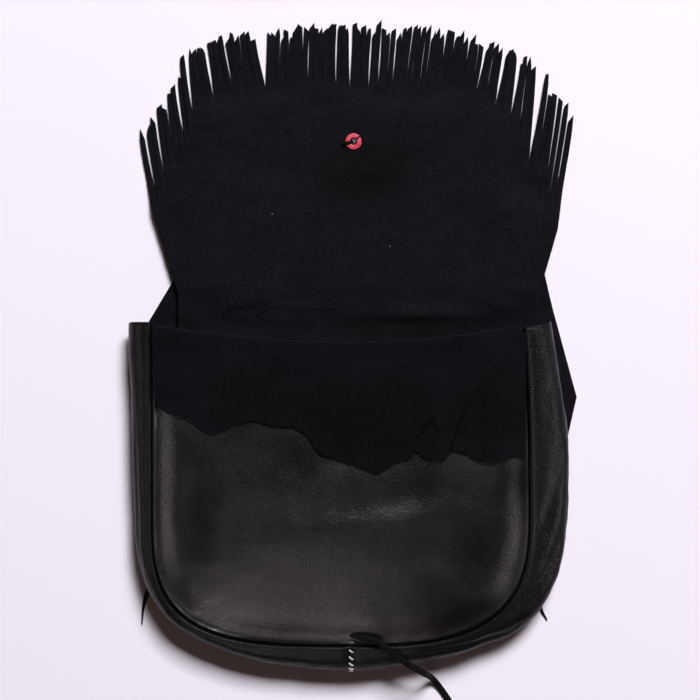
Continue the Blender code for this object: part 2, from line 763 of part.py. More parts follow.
def build_bag():
    for old in list(bpy.data.objects):
        bpy.data.objects.remove(old)
    bag = new_collection("fringe_bag")
    cutters = new_collection("cutters")
    grain = material("black_leather", (0.012, 0.011, 0.011), 0.42)
    gusset_grain = material("gusset_leather", (0.012, 0.011, 0.011), 0.42)
    back_grain = material("back_leather", (0.012, 0.011, 0.011), 0.45)
    suede = material("black_suede", (0.008, 0.008, 0.011), 0.95)
    strap_grain = material("strap_leather", (0.012, 0.011, 0.011), 0.5)
    red = material("red_washer", (0.62, 0.07, 0.09), 0.4)
    plain = material("black_button", (0.012, 0.011, 0.011), 0.5)
    lace_black = material("black_lace", (0.012, 0.011, 0.011), 0.55)
    thread = material("white_thread", (0.8, 0.8, 0.78), 0.8)

    build_back_panel(back_grain, bag)
    build_front_panel(grain, bag)
    build_gussets(gusset_grain, bag)
    build_stitches(thread, bag)
    flap = build_flap(suede, bag)
    held = build_button(red, plain, lace_black, flap, bag, cutters)
    build_strap(strap_grain, bag)
    build_laces(lace_black, bag)

    hinge = bpy.data.objects.new("flap_hinge", None)
    hinge.location = (0.0, HINGE_Y, HINGE_Z)
    bag.objects.link(hinge)
    for moving in [flap, *held]:
        moving.parent = hinge
        moving.matrix_parent_inverse.translation = (0.0, -HINGE_Y, -HINGE_Z)


build_bag()
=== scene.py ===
# Looks of the fringe bag: black leather pouch on its back with its suede flap opened flat.
# Metres, Z up. X runs to the right across the bag, Y towards the fringe tips, the floor is Z = 0.
import bisect
import math
import random

import bmesh
import bpy
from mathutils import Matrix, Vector, noise


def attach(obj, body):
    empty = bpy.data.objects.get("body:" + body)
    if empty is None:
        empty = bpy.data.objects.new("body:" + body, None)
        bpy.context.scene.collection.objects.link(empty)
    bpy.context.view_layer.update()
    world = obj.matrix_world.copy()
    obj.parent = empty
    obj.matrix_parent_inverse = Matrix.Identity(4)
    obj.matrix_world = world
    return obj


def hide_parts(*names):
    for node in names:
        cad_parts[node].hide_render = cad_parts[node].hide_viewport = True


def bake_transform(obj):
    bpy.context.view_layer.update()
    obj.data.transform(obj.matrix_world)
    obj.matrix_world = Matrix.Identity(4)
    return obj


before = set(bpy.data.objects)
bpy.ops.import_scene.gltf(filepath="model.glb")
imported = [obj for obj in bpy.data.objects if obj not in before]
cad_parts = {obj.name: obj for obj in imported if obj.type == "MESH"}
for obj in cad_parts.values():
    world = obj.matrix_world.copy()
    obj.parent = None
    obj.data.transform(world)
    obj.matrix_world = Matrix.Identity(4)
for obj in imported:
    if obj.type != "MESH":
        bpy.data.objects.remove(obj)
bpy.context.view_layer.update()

MM = 0.001
FLOOR = 0.0

# Camera straight above the bag
CAMERA_HEIGHT = 1.3
CAMERA_CENTRE = (-0.64 * MM, 89.6 * MM)
VIEW_WIDTH = 448.0 * MM

# Leather
PANEL_LEATHER = 1.5 * MM
FLAP_LEATHER = 1.5 * MM
STRAP_LEATHER = 1.8 * MM
SEAM_GAP = 0.15 * MM

# Pouch outlines and heights, as in the model
FRONT_LEFT = 125.0 * MM
FRONT_RIGHT = 112.0 * MM
FRONT_TOP = 103.0 * MM
FRONT_BOTTOM = -96.0 * MM
FRONT_SEAM_HEIGHT = 27.0 * MM
FRONT_SEAM_RISE = 0.6 * MM
MOUTH_LEAN = 4.0 * MM
MOUTH_SAG = 10.5 * MM
MOUTH_DIP = 3.5 * MM
BACK_LEFT = 110.0 * MM
BACK_RIGHT = 118.0 * MM
BACK_TOP = 104.0 * MM
BACK_BOTTOM = -88.0 * MM
CORNER_START = -10.0 * MM
CORNER_SQUARENESS_LEFT = 3.4
CORNER_SQUARENESS_RIGHT = 3.0
SEAM_LIP = 6.0 * MM
SEAM_ROUND = 2.0 * MM
PANEL_INSET = 3.0 * MM
PANEL_PUFF = 1.8 * MM
PANEL_CROWN = 4.5 * MM
# Along the gusset: share, how far it stands out beyond the front seam in millimetres
GUSSET_BULGE = [
    (0.0, 16), (0.16, 12), (0.24, 9.5), (0.34, 10), (0.42, 14.5), (0.5, 17.5), (0.6, 13.5), (0.68, 14),
    (0.77, 21), (0.86, 25.5), (0.915, 26), (0.96, 22.5), (1.0, 18.5),
]
GUSSET_WIDEST_HEIGHT = 14.0 * MM
GUSSET_LENGTH = 0.62
BACK_LIFT = STRAP_LEATHER + 0.4 * MM
LIFT_START = 8.0 * MM
LIFT_END = 25.0 * MM

# Rounded seam edges: how far in and how far down, as shares of SEAM_ROUND
SEAM_CURVE = [(0.95, -0.3), (0.65, -0.02), (0.4, 0.12), (0.2, 0.34), (0.05, 0.65), (0.0, 1.0)]
GUSSET_FRONT_CURVE = [
    (0.0, 1.0), (0.05, 0.6), (0.22, 0.28), (0.5, 0.04), (0.85, -0.08), (1.2, 0.02), (1.7, 0.22),
]
GUSSET_BACK_CURVE = [(0.6, 0.1), (0.25, 0.35), (0.05, 0.7), (0.0, 1.0)]

# How far the gusset's hem stands up beyond its mouth line, by point across the gusset, in millimetres
MOUTH_HEM_LEFT = [(0, 2.0), (7, 4.2), (16, 4.2), (24, 2.2), (31, 0.0)]
MOUTH_HEM_RIGHT = [(0, 0.0), (8, 0.8), (16, 2.6), (24, 4.6), (31, 0.0)]
# Slanting grooves: where each starts and ends along the gusset and across it, then its depth in millimetres
GUSSET_GROOVES = [
    (0.05, 0.22, 15, 15, 0.8),
    (0.56, 0.76, 9, 16, 1.1),
    (0.72, 0.86, 8, 17, 1.3),
    (0.81, 0.93, 8, 17, 1.2),
]

# Swells of the front panel: centre, reach along x and y, and height, in millimetres
PANEL_SWELLS = [
    (-50, -28, 46, 32, 2.6),
    (-34, -88, 40, 14, -1.0),
    (66, -72, 30, 24, 1.5),
    (60, -34, 26, 18, -0.9),
    (-98, -8, 11, 24, -1.1),
    (-88, -66, 18, 18, -0.5),
    (94, -30, 12, 40, -0.8),
    (78, 6, 20, 20, -0.7),
    (12, -84, 12, 14, 0.9),
]
EDGE_ROUND = 9.5 * MM
EDGE_PUFF = 3.4 * MM
EDGE_SINK = 1.2 * MM
BELLY_RISE = 1.7 * MM
BELLY_TILT = 0.14
BELLY_PIVOT = 45.0 * MM
BELLY_CENTRE = 18.0 * MM
BELLY_REACH = 46.0 * MM

# Cuff: its edge line, folds and swells are in millimetres
CUFF_FOLD_RADIUS = 0.7 * MM
CUFF_REST_GAP = 0.5 * MM
CUFF_OVERHANG = (2.4 * MM, 4.4 * MM)
CUFF_EDGE_LIFT = 0.6 * MM
CUFF_ROWS = 64
CUFF_EDGE = [
    (-124, 78), (-123.6, 72), (-123, 61), (-121, 55), (-115, 50), (-110, 49), (-100, 46),
    (-95, 42), (-90, 38.5), (-86, 37.5), (-81, 39), (-75, 42), (-66, 45), (-59, 45.5), (-51, 43),
    (-43, 42), (-36, 42), (-32, 40), (-27, 36), (-22, 28), (-17, 24), (-9, 22), (3, 18), (13, 14),
    (17, 13), (23, 17), (31, 21), (38, 23), (40, 27), (42.5, 25.5), (46, 22.5), (52, 21.5),
    (59, 22.5), (61.5, 26.5), (66, 27), (73, 24), (80, 20), (87, 19), (97, 21), (111, 23),
]
# Folds: the line of each, and its height
CUFF_FOLDS = [
    ([(84, 71), (76, 60), (69, 48), (64.5, 37), (60.5, 24)], 1.6),
    ([(39.5, 25), (42, 35), (46, 42), (52, 47)], 1.1),
    ([(48, 52), (51, 45), (55, 38)], 0.8),
]
# Swells: centre, reach along x and y, and height
CUFF_SWELLS = [
    (-90, 78, 26, 18, 0.7), (-20, 72, 30, 20, 0.7), (20, 46, 22, 16, 0.4), (95, 52, 12, 26, 0.7),
    (-60, 60, 14, 20, -0.3), (50, 30, 7, 9, 0.3),
]

# Flap: X, Y and heights in its lists are millimetres, and shares run from 0 to 1
STRANDS = 86
FLAP_ROOT_Y = 104.3 * MM
FLAP_LAP_Y = 84.0 * MM
FLAP_ROOT_X = (-110.0 * MM, 118.0 * MM)
FLAP_CUT_X = (-126.5 * MM, 131.0 * MM)
FLAP_TIP_X = (-134.0 * MM, 140.5 * MM)
# From the root to the cuts: share of the way, share of the widening
FLAP_WIDENING = [(0.0, 0.0), (0.28, 0.02), (0.42, 0.2), (1.0, 1.0)]
# Across the flap: share, Y where the cuts between the strands start
FRINGE_CUTS = [
    (0.0, 178), (0.04, 192), (0.07, 212), (0.1, 226), (0.15, 248), (0.21, 256), (0.5, 257),
    (0.79, 255), (0.86, 240), (0.92, 212), (0.955, 180), (1.0, 166),
]
# Across the flap: share, Y of the strands' tips
FRINGE_TIPS = [
    (0.0, 227), (0.05, 249), (0.08, 261), (0.1, 277), (0.16, 287), (0.25, 293), (0.36, 296), (0.53, 298),
    (0.64, 296), (0.75, 291), (0.86, 281), (0.92, 273), (0.95, 257), (0.985, 245), (1.0, 233),
]
# Gaps between clumps of strands: share across, how far the tips are pushed apart, reach in strands
FRINGE_PARTINGS = [
    (0.012, 1.2, 2), (0.035, 1.0, 2), (0.06, 0.7, 2), (0.083, 0.8, 3), (0.105, 0.8, 2), (0.148, 0.7, 2),
    (0.2, 0.8, 2), (0.232, 0.7, 2), (0.279, 3.6, 8), (0.31, 0.8, 2), (0.39, 0.5, 2), (0.486, 0.7, 2),
    (0.528, 0.6, 2), (0.59, 0.7, 2), (0.619, 0.7, 2), (0.653, 0.7, 2), (0.712, 0.8, 2), (0.766, 0.7, 2),
    (0.8, 0.5, 2), (0.845, 0.8, 3), (0.88, 0.9, 2), (0.93, 3.2, 4), (0.955, 0.7, 2), (0.975, 0.8, 2),
]
# Along the flap: Y, height above the floor
FLAP_PROFILE = [
    (84, 5.6), (98, 5.4), (104, 5.0), (112, 5.2), (132, 10.9), (140, 11.3), (176, 11.3), (184, 10.9),
    (208, 6.2), (214, 6.0), (232, 6.0), (238, 5.7), (256, 1.0), (266, 0.4), (300, 0.3),
]
# Swells: centre, reach along x and y, and height
FLAP_SWELLS = [
    (-70, 150, 40, 18, 0.8), (40, 190, 50, 22, 0.7), (-30, 215, 40, 16, 0.5), (95, 215, 20, 30, 0.6),
    (10, 128, 60, 9, 1.2), (-62, 120, 26, 7, 1.6), (-95, 205, 18, 26, 0.5), (44, 112, 34, 5, 4.6),
    (-14, 117, 26, 5, 2.0), (92, 119, 12, 6, 2.5),
]
LEFT_DROOP = 6.3 * MM
SIDE_REST = 1.2 * MM
STRAP_REST = 1.9 * MM
STRAND_STEPS = 12
STRAND_THINNESS = 0.6
STRAND_REST = 0.3 * MM

# Shoulder strap sizes
STRAP_WIDTH = 30.0 * MM
STRAP_STACK_Y = 158.0 * MM
STRAP_PITCH = STRAP_LEATHER + 0.3 * MM
STRAP_LEFT_END = (-126.0 * MM, 84.0 * MM)
STRAP_LEFT_AIM = (0.512, 0.859)
STRAP_RIGHT_END = (129.8 * MM, 55.6 * MM)
STRAP_RIGHT_AIM = (0.2615, -0.965)
STRAP_POINT = 25.0 * MM
STRAP_TURN_RIGHT = 96.0 * MM
STRAP_TURN_LEFT = -88.0 * MM

# Washer, button and lace sizes
BUTTON_PLACE = (1.6 * MM, 222.2 * MM)
WASHER_RADIUS = 5.2 * MM
WASHER_HOLE = 1.6 * MM
WASHER_OPENING = 2.2 * MM
WASHER_SLIT_AIM = math.radians(38)
LACE_NUB_RADIUS = 1.5 * MM
WASHER_HEIGHT = 1.5 * MM
BUTTON_RADIUS = 9.0 * MM
BUTTON_HEIGHT = 2.6 * MM
BUTTON_LACE_RADIUS = 1.1 * MM
BUTTON_GAP = 0.3 * MM
THONG_WIDTH = 1.9 * MM
THONG_THICKNESS = 1.2 * MM

# Laces: the routes' points are millimetres
LACE_WIDTH = 4.0 * MM
LACE_THICKNESS = 2.0 * MM
TAIL_WIDTH = 3.0 * MM
TAIL_THICKNESS = 1.6 * MM
TAIL_HEIGHT = 0.9
CLOSURE_ROUTE = [
    (-0.5, -88.6, 27.6), (3, -89.4, 30.6), (8, -90.3, 31.6), (14, -91.5, 31.8), (20, -95, 31.2),
    (24.4, -98.5, 30.4), (29.5, -102.8, 29.4), (34.5, -106.6, 28.2), (40, -109.8, 26.4),
    (45.4, -113.4, 23.0), (48.6, -116.2, 15.0), (51, -118.6, 8.0), (53.5, -121.8, 3.2),
    (57, -126.4, 1.2), (61.6, -133, 1.1), (65, -139, 1.1), (70.5, -146, 1.1), (79, -152, 1.1),
    (90, -156, 1.1), (102, -157.5, 1.1), (115, -157, 1.1), (129, -154, 1.1),
]
LEFT_TAIL_ROUTE = [
    (-123.5, -44), (-124.5, -50), (-126.3, -56), (-128.8, -62.5), (-131.3, -69), (-132.9, -76), (-133.8, -86),
]
RIGHT_TAIL_ROUTE = [
    (127.5, -46), (126.5, -53), (125, -60), (122.8, -66.5), (120.9, -72), (122.2, -77.5),
    (125.4, -83),
]

# Stitches
STITCH_COUNT = 8
STITCH_PITCH = 4.5 * MM
STITCH_LENGTH = 1.9 * MM
STITCH_RADIUS = 0.38 * MM
STITCH_SLANT = 2.3 * MM

# Stains, painted shade, crumpled zones and dull zones, seen from above: centre and reach in millimetres, then
# strength
# Flap: the first two are stain patches near the washer, the last two painted shade along its root at the
# mouth line
FLAP_STAINS_AND_ROOT_SHADE = [
    ((14, 207), (32, 18), 0.75),
    ((2, 196), (22, 12), 0.7),
    ((30, 104), (60, 6), 0.7),
    ((-104, 104), (12, 9), 0.7),
]
# Crumpled zones on the flap: bumps, with painted shade in their cracks
FLAP_CRUMPLES_WITH_SHADE = [((-78, 121), (26, 18), 0.5), ((96, 112), (20, 12), 0.2)]
PANEL_DULL = [
    ((57, -72), (27, 19), 0.65),
    ((46, 4), (52, 10), 0.42),
    ((78, -31), (20, 20), 0.62),
    ((-94, -6), (10, 36), 0.55),
    ((-42, 32), (26, 14), 0.4),
    ((22, -34), (22, 8), 0.25),
    ((104, 12), (10, 24), 0.75),
    ((-58, -93), (24, 6), 0.4),
]
CUFF_STAINS = [((10, 42), (46, 26), 0.8), ((-60, 62), (26, 16), 0.5), ((92, 50), (24, 22), 0.7)]
# Tone of the stain patches, and of the painted shade at the flap's root
STAIN_AND_SHADE_TONE = (0.62, 0.6, 0.42)
# Painted shade in the cracks of the crumpled zones
CRACK_SHADE_TONE = (0.3, 0.3, 0.3)
# Painted shade along the cuff's crease lines
CREASE_SHADE_TONE = (0.03, 0.03, 0.035)

# Stage
FLOOR_REACH = 3.0
KEY_PLACE = (1.05, 2.75, 3.6)


# Small helpers


def profile(pairs, place):
    """Value of an eased line through (place, value) pairs."""
    places = [pair[0] for pair in pairs]
    after = min(max(bisect.bisect_right(places, place), 1), len(pairs) - 1)
    (start, low), (end, high) = pairs[after - 1], pairs[after]
    step = min(max((place - start) / (end - start), 0.0), 1.0)
    return low + (high - low) * step * step * (3 - 2 * step)


def curved_profile(pairs, place):
    """Value of a smooth curve through (place, value) pairs, without flat spots at the pairs."""
    places = [pair[0] for pair in pairs]
    after = min(max(bisect.bisect_right(places, place), 1), len(pairs) - 1)
    before = pairs[max(after - 2, 0)]
    start, end = pairs[after - 1], pairs[after]
    beyond = pairs[min(after + 1, len(pairs) - 1)]
    run = end[0] - start[0]
    t = min(max((place - start[0]) / run, 0.0), 1.0)
    start_slope = (end[1] - before[1]) / max(end[0] - before[0], 1e-9) * run
    end_slope = (beyond[1] - start[1]) / max(beyond[0] - start[0], 1e-9) * run
    square, cube = t * t, t * t * t
    return (
        start[1] * (2 * cube - 3 * square + 1)
        + start_slope * (cube - 2 * square + t)
        + end[1] * (3 * square - 2 * cube)
        + end_slope * (cube - square)
    )


def smooth_step(value, start, end):
    step = min(max((value - start) / (end - start), 0.0), 1.0)
    return step * step * (3 - 2 * step)


def between(ends, share):
    return ends[0] + (ends[1] - ends[0]) * share


def ripple(x, y, size, seed=0.0):
    """Smooth noise in -1..1 with features of the given size."""
    return noise.noise(Vector((x / size, y / size, seed)))


def hump(x, y, place):
    """A soft round swelling: place is (x, y, reach along x, reach along y, height), in millimetres."""
    centre_x, centre_y, reach_x, reach_y, height = place
    away = ((x / MM - centre_x) / reach_x) ** 2 + ((y / MM - centre_y) / reach_y) ** 2
    return height * MM * math.exp(-away)


def distance_to_line(x, y, line):
    """Distance in millimetres from a point to a bent line of points, with the share along it and the side."""
    best = (1e9, 0.0, 1.0)
    total = len(line) - 1
    for index, ((ax, ay), (bx, by)) in enumerate(zip(line, line[1:])):
        dx, dy = bx - ax, by - ay
        px, py = x / MM - ax, y / MM - ay
        share = min(max((px * dx + py * dy) / (dx * dx + dy * dy), 0.0), 1.0)
        away = math.hypot(px - share * dx, py - share * dy)
        if away < best[0]:
            side = 1.0 if dx * py - dy * px > 0 else -1.0
            best = (away, (index + share) / total, side)
    return best


def mesh_piece(name, vertices, faces, materials):
    mesh = bpy.data.meshes.new(name)
    mesh.from_pydata([tuple(vertex) for vertex in vertices], [], faces)
    work = bmesh.new()
    work.from_mesh(mesh)
    bmesh.ops.recalc_face_normals(work, faces=work.faces)
    work.to_mesh(mesh)
    work.free()
    for surface in materials:
        mesh.materials.append(surface)
    mesh.shade_smooth()
    piece = bpy.data.objects.new(name, mesh)
    bpy.context.scene.collection.objects.link(piece)
    return piece


def face_up(piece, upward, index=0):
    mesh = piece.data
    if (mesh.polygons[index].normal.z > 0) != upward:
        mesh.flip_normals()


def thicken(piece, thickness, offset, edge_round=0.35 * MM):
    """Give a sheet its leather thickness: its far side takes the second material, its cut edge the third."""
    solidify = piece.modifiers.new("leather thickness", "SOLIDIFY")
    solidify.thickness = thickness
    solidify.offset = offset
    solidify.use_even_offset = True
    solidify.use_rim = True
    solidify.material_offset = 1
    solidify.material_offset_rim = 2
    if edge_round:
        bevel = piece.modifiers.new("soft edge", "BEVEL")
        bevel.width = edge_round
        bevel.segments = 2
        bevel.limit_method = "ANGLE"
        bevel.angle_limit = math.radians(50)
    return piece


def grid_faces(rows, columns, start=0):
    faces = []
    for row in range(rows - 1):
        for column in range(columns - 1):
            corner = start + row * columns + column
            faces.append((corner, corner + 1, corner + columns + 1, corner + columns))
    return faces


# Materials


class Nodes:
    """Short way to add and join the nodes of one material."""

    def __init__(self, name):
        self.material = bpy.data.materials.new(name)
        self.material.use_nodes = True
        self.tree = self.material.node_tree
        self.shader = self.tree.nodes["Principled BSDF"]
        self.place = self.add("ShaderNodeTexCoord").outputs["Object"]

    def add(self, kind, **values):
        node = self.tree.nodes.new(kind)
        for key, value in values.items():
            setattr(node, key, value)
        return node

    def join(self, output, target):
        self.tree.links.new(output, target)

    def mapping(self, scale, rotation=(0.0, 0.0, 0.0)):
        node = self.add("ShaderNodeMapping")
        node.inputs["Scale"].default_value = scale
        node.inputs["Rotation"].default_value = rotation
        self.join(self.place, node.inputs["Vector"])
        return node.outputs["Vector"]

    def noise(self, scale, detail=4.0, rough=0.55, vector=None):
        node = self.add("ShaderNodeTexNoise")
        node.inputs["Scale"].default_value = scale
        node.inputs["Detail"].default_value = detail
        node.inputs["Roughness"].default_value = rough
        self.join(vector or self.place, node.inputs["Vector"])
        return node.outputs["Fac"]

    def warped(self, scale, amount):
        """Object place pushed about by noise."""
        node = self.add("ShaderNodeTexNoise")
        node.inputs["Scale"].default_value = scale
        self.join(self.place, node.inputs["Vector"])
        push = self.add("ShaderNodeVectorMath", operation="SCALE")
        push.inputs["Scale"].default_value = amount
        self.join(node.outputs["Color"], push.inputs[0])
        total = self.add("ShaderNodeVectorMath", operation="ADD")
        self.join(self.place, total.inputs[0])
        self.join(push.outputs["Vector"], total.inputs[1])
        return total.outputs["Vector"]

    def cells(self, scale, feature="F1", vector=None):
        node = self.add("ShaderNodeTexVoronoi", feature=feature)
        node.inputs["Scale"].default_value = scale
        self.join(vector or self.place, node.inputs["Vector"])
        return node

    def band(self, value, low, high, start=0.0, end=1.0):
        node = self.add("ShaderNodeMapRange")
        for key, amount in (("From Min", low), ("From Max", high), ("To Min", start), ("To Max", end)):
            node.inputs[key].default_value = amount
        self.join(value, node.inputs["Value"])
        return node.outputs["Result"]

    def math(self, operation, first, second):
        node = self.add("ShaderNodeMath", operation=operation)
        for value, target in ((first, node.inputs[0]), (second, node.inputs[1])):
            if isinstance(value, (int, float)):
                target.default_value = value
            else:
                self.join(value, target)
        return node.outputs["Value"]

    def zone(self, centre, reach, soft=0.5):
        """1 inside an uneven patch around a place (millimetres, seen from above), easing to 0 outside it."""
        node = self.add("ShaderNodeMapping", vector_type="TEXTURE")
        node.inputs["Location"].default_value = (centre[0] * MM, centre[1] * MM, 0.0)
        node.inputs["Scale"].default_value = (reach[0] * MM, reach[1] * MM, 1.0)
        self.join(self.place, node.inputs["Vector"])
        length = self.add("ShaderNodeVectorMath", operation="LENGTH")
        self.join(node.outputs["Vector"], length.inputs[0])
        wander = self.band(self.noise(60.0, 3.0, 0.6), 0.3, 0.7, -0.2, 0.2)
        uneven = self.math("ADD", length.outputs["Value"], wander)
        return self.band(uneven, 1.0 - soft, 1.0 + soft, 1.0, 0.0)

    def colors(self, factor, first, second):
        node = self.add("ShaderNodeMix", data_type="RGBA")
        node.inputs["A"].default_value = (*first, 1.0)
        if isinstance(second, tuple):
            node.inputs["B"].default_value = (*second, 1.0)
        else:
            self.join(second, node.inputs["B"])
        self.join(factor, node.inputs["Factor"])
        return node.outputs["Result"]

    def darkened(self, base, factor, tone):
        """The base colour multiplied by a tone, as far as the factor says."""
        node = self.add("ShaderNodeMix", data_type="RGBA", blend_type="MULTIPLY")
        self.join(factor, node.inputs["Factor"])
        self.join(base, node.inputs["A"])
        node.inputs["B"].default_value = (*tone, 1.0)
        return node.outputs["Result"]

    def bump(self, height, strength, distance, under=None):
        node = self.add("ShaderNodeBump")
        node.inputs["Strength"].default_value = strength
        node.inputs["Distance"].default_value = distance
        self.join(height, node.inputs["Height"])
        if under is not None:
            self.join(under, node.inputs["Normal"])
        return node.outputs["Normal"]

    def set(self, name, value):
        if isinstance(value, (int, float)):
            self.shader.inputs[name].default_value = value
        elif isinstance(value, tuple):
            self.shader.inputs[name].default_value = (*value, 1.0)
        else:
            self.join(value, self.shader.inputs[name])


def grain_leather(
    name, dark=(0.0018, 0.0017, 0.0018), light=(0.0042, 0.0035, 0.0033),
    gloss=0.0, slant=0.6, wrinkles=1.0, shine=0.42, dull=(),
):
    """Smooth black leather: fine pebbled grain, faint drawn lines, and a satin finish with duller patches."""
    nodes = Nodes(name)
    drawn = nodes.mapping((260.0, 900.0, 500.0), (0.0, 0.0, slant))
    lines = nodes.noise(1.0, 5.0, 0.6, drawn)
    pebbles = nodes.cells(1250.0).outputs["Distance"]
    pores = nodes.noise(1900.0, 3.0, 0.6)
    broad = nodes.noise(28.0, 3.0, 0.5)
    height = nodes.math("ADD", nodes.math("MULTIPLY", lines, 0.9), nodes.math("MULTIPLY", pebbles, 0.7))
    height = nodes.math("ADD", height, nodes.math("MULTIPLY", pores, 0.35))
    wrinkled = nodes.cells(640.0, "F1", nodes.warped(420.0, 0.003)).outputs["Distance"]
    coarse = nodes.bump(nodes.noise(150.0, 4.0, 0.6), 0.25, 0.0008)
    coarse = nodes.bump(wrinkled, 0.12 * wrinkles, 0.0005, coarse)
    nodes.set("Normal", nodes.bump(height, 0.38, 0.0003, coarse))
    nodes.set("Base Color", nodes.colors(nodes.band(broad, 0.35, 0.7), dark, light))
    patchy = nodes.band(broad, 0.3, 0.7, 0.34 - gloss, 0.44 - gloss)
    nodes.set("Roughness", nodes.math("ADD", patchy, nodes.band(pores, 0.3, 0.7, -0.04, 0.05)))
    for centre, reach, strength in dull:
        kept = nodes.band(nodes.zone(centre, reach, 0.7), 0.0, 1.0, 1.0, 1.0 - strength)
        shine = nodes.math("MULTIPLY", shine, kept)
    nodes.set("Specular IOR Level", shine)
    return nodes.material


def suede(
    name, dark=(0.0033, 0.0032, 0.0047), light=(0.008, 0.0079, 0.0111),
    lint=1.0, stains_and_shade=(), crumples_with_shade=(), creased=False,
):
    """Napped flesh side: matt, faintly blue, brushed, with specks of lint, dark stain patches, crumpled zones
    and painted shade.
    """
    nodes = Nodes(name)
    nap = nodes.noise(1500.0, 4.0, 0.7)
    brushed = nodes.noise(1.0, 6.0, 0.68, nodes.mapping((42.0, 80.0, 40.0), (0.0, 0.0, 0.3)))
    mottled = nodes.noise(330.0, 4.0, 0.7)
    fibres = nodes.noise(1.0, 5.0, 0.65, nodes.mapping((500.0, 1400.0, 600.0), (0.0, 0.0, 1.1)))
    tone = nodes.band(brushed, 0.32, 0.68, 0.0, 0.6)
    tone = nodes.math("ADD", tone, nodes.band(fibres, 0.35, 0.7, -0.1, 0.35))
    tone = nodes.math("ADD", tone, nodes.band(mottled, 0.35, 0.65, -0.15, 0.35))
    base = nodes.colors(tone, dark, light)
    specks = nodes.cells(120.0)
    near = nodes.band(specks.outputs["Distance"], 0.035, 0.055, 1.0, 0.0)
    split = nodes.add("ShaderNodeSeparateColor")
    nodes.join(specks.outputs["Color"], split.inputs["Color"])
    chosen = nodes.math("GREATER_THAN", split.outputs["Red"], 0.955)
    speck = nodes.math("MULTIPLY", nodes.math("MULTIPLY", near, chosen), 0.55 * lint)
    mixed = nodes.add("ShaderNodeMix", data_type="RGBA")
    nodes.join(speck, mixed.inputs["Factor"])
    # Stain patches, and on the flap painted shade along its root, darken the base colour
    for centre, reach, strength in stains_and_shade:
        stained_or_shaded = nodes.math("MULTIPLY", nodes.zone(centre, reach), strength)
        base = nodes.darkened(base, stained_or_shaded, STAIN_AND_SHADE_TONE)
    for centre, reach, strength in crumples_with_shade:
        # Painted shade: dark lines in the cracks of the crumpled zones
        cracks = nodes.cells(150.0, "DISTANCE_TO_EDGE", nodes.warped(120.0, 0.011)).outputs["Distance"]
        lines = nodes.math("MULTIPLY", nodes.band(cracks, 0.0, 0.11, 1.0, 0.0), nodes.zone(centre, reach))
        crack_shade = nodes.math("MULTIPLY", lines, nodes.band(nodes.noise(90.0, 3.0, 0.6), 0.42, 0.6))
        base = nodes.darkened(base, nodes.math("MULTIPLY", crack_shade, 2.0 * strength), CRACK_SHADE_TONE)
    # Painted shade: the cuff suede darkens along its crease lines
    if creased:
        base = nodes.darkened(base, painted_crease_shade(nodes), CREASE_SHADE_TONE)
    nodes.join(base, mixed.inputs["A"])
    mixed.inputs["B"].default_value = (0.3, 0.3, 0.32, 1.0)
    nodes.set("Base Color", mixed.outputs["Result"])
    nodes.set("Roughness", 1.0)
    nodes.set("Specular IOR Level", 0.06)
    nodes.set("Sheen Weight", 0.03)
    nodes.set("Sheen Roughness", 0.5)
    height = nodes.math("ADD", nap, nodes.math("MULTIPLY", fibres, 0.8))
    coarse = nodes.bump(brushed, 0.25, 0.0015)
    for centre, reach, strength in crumples_with_shade:
        cracks = nodes.cells(190.0, "DISTANCE_TO_EDGE", nodes.warped(210.0, 0.008))
        folds = nodes.band(cracks.outputs["Distance"], 0.0, 0.34)
        folds = nodes.math("MULTIPLY", folds, nodes.zone(centre, reach))
        coarse = nodes.bump(folds, strength, 0.0009, coarse)
    nodes.set("Normal", nodes.bump(height, 0.5, 0.0004, coarse))
    return nodes.material


def painted_crease_shade(nodes):
    """Painted shade: darker lines along the folds, from the mesh's own crease shade values."""
    node = nodes.add("ShaderNodeAttribute", attribute_name="crease")
    return node.outputs["Fac"]


def cut_edge(name):
    """Raw edge of dyed leather: dark, fibrous and matt."""
    nodes = Nodes(name)
    fibres = nodes.noise(1200.0, 4.0, 0.7)
    nodes.set("Base Color", nodes.colors(fibres, (0.0006, 0.0006, 0.0008), (0.002, 0.0018, 0.002)))
    nodes.set("Roughness", 0.85)
    nodes.set("Specular IOR Level", 0.1)
    nodes.set("Normal", nodes.bump(fibres, 0.4, 0.0003))
    return nodes.material


def lace_leather(name):
    nodes = Nodes(name)
    drawn = nodes.noise(1.0, 5.0, 0.6, nodes.mapping((900.0, 300.0, 700.0), (0.0, 0.0, 0.5)))
    nodes.set("Base Color", nodes.colors(drawn, (0.002, 0.002, 0.0024), (0.006, 0.0055, 0.0055)))
    nodes.set("Roughness", nodes.band(drawn, 0.3, 0.7, 0.5, 0.7))
    nodes.set("Specular IOR Level", 0.05)
    nodes.set("Normal", nodes.bump(drawn, 0.5, 0.0003))
    return nodes.material


def lace_core(name):
    """Cut end of a lace: its undyed grey core."""
    nodes = Nodes(name)
    fibres = nodes.noise(2200.0, 4.0, 0.7)
    nodes.set("Base Color", nodes.colors(fibres, (0.02, 0.024, 0.026), (0.15, 0.165, 0.175)))
    nodes.set("Roughness", 0.6)
    nodes.set("Normal", nodes.bump(fibres, 0.6, 0.0003))
    return nodes.material


def red_leather(name):
    """Dyed red washer: satin, with slightly paler, worn patches."""
    nodes = Nodes(name)
    wear = nodes.noise(420.0, 4.0, 0.6)
    fine = nodes.noise(1700.0, 3.0, 0.6)
    worn = nodes.band(wear, 0.4, 0.65)
    nodes.set("Base Color", nodes.colors(worn, (0.5, 0.022, 0.04), (0.64, 0.085, 0.14)))
    nodes.set("Roughness", nodes.band(wear, 0.3, 0.7, 0.3, 0.5))
    nodes.set("Normal", nodes.bump(fine, 0.25, 0.0003))
    return nodes.material


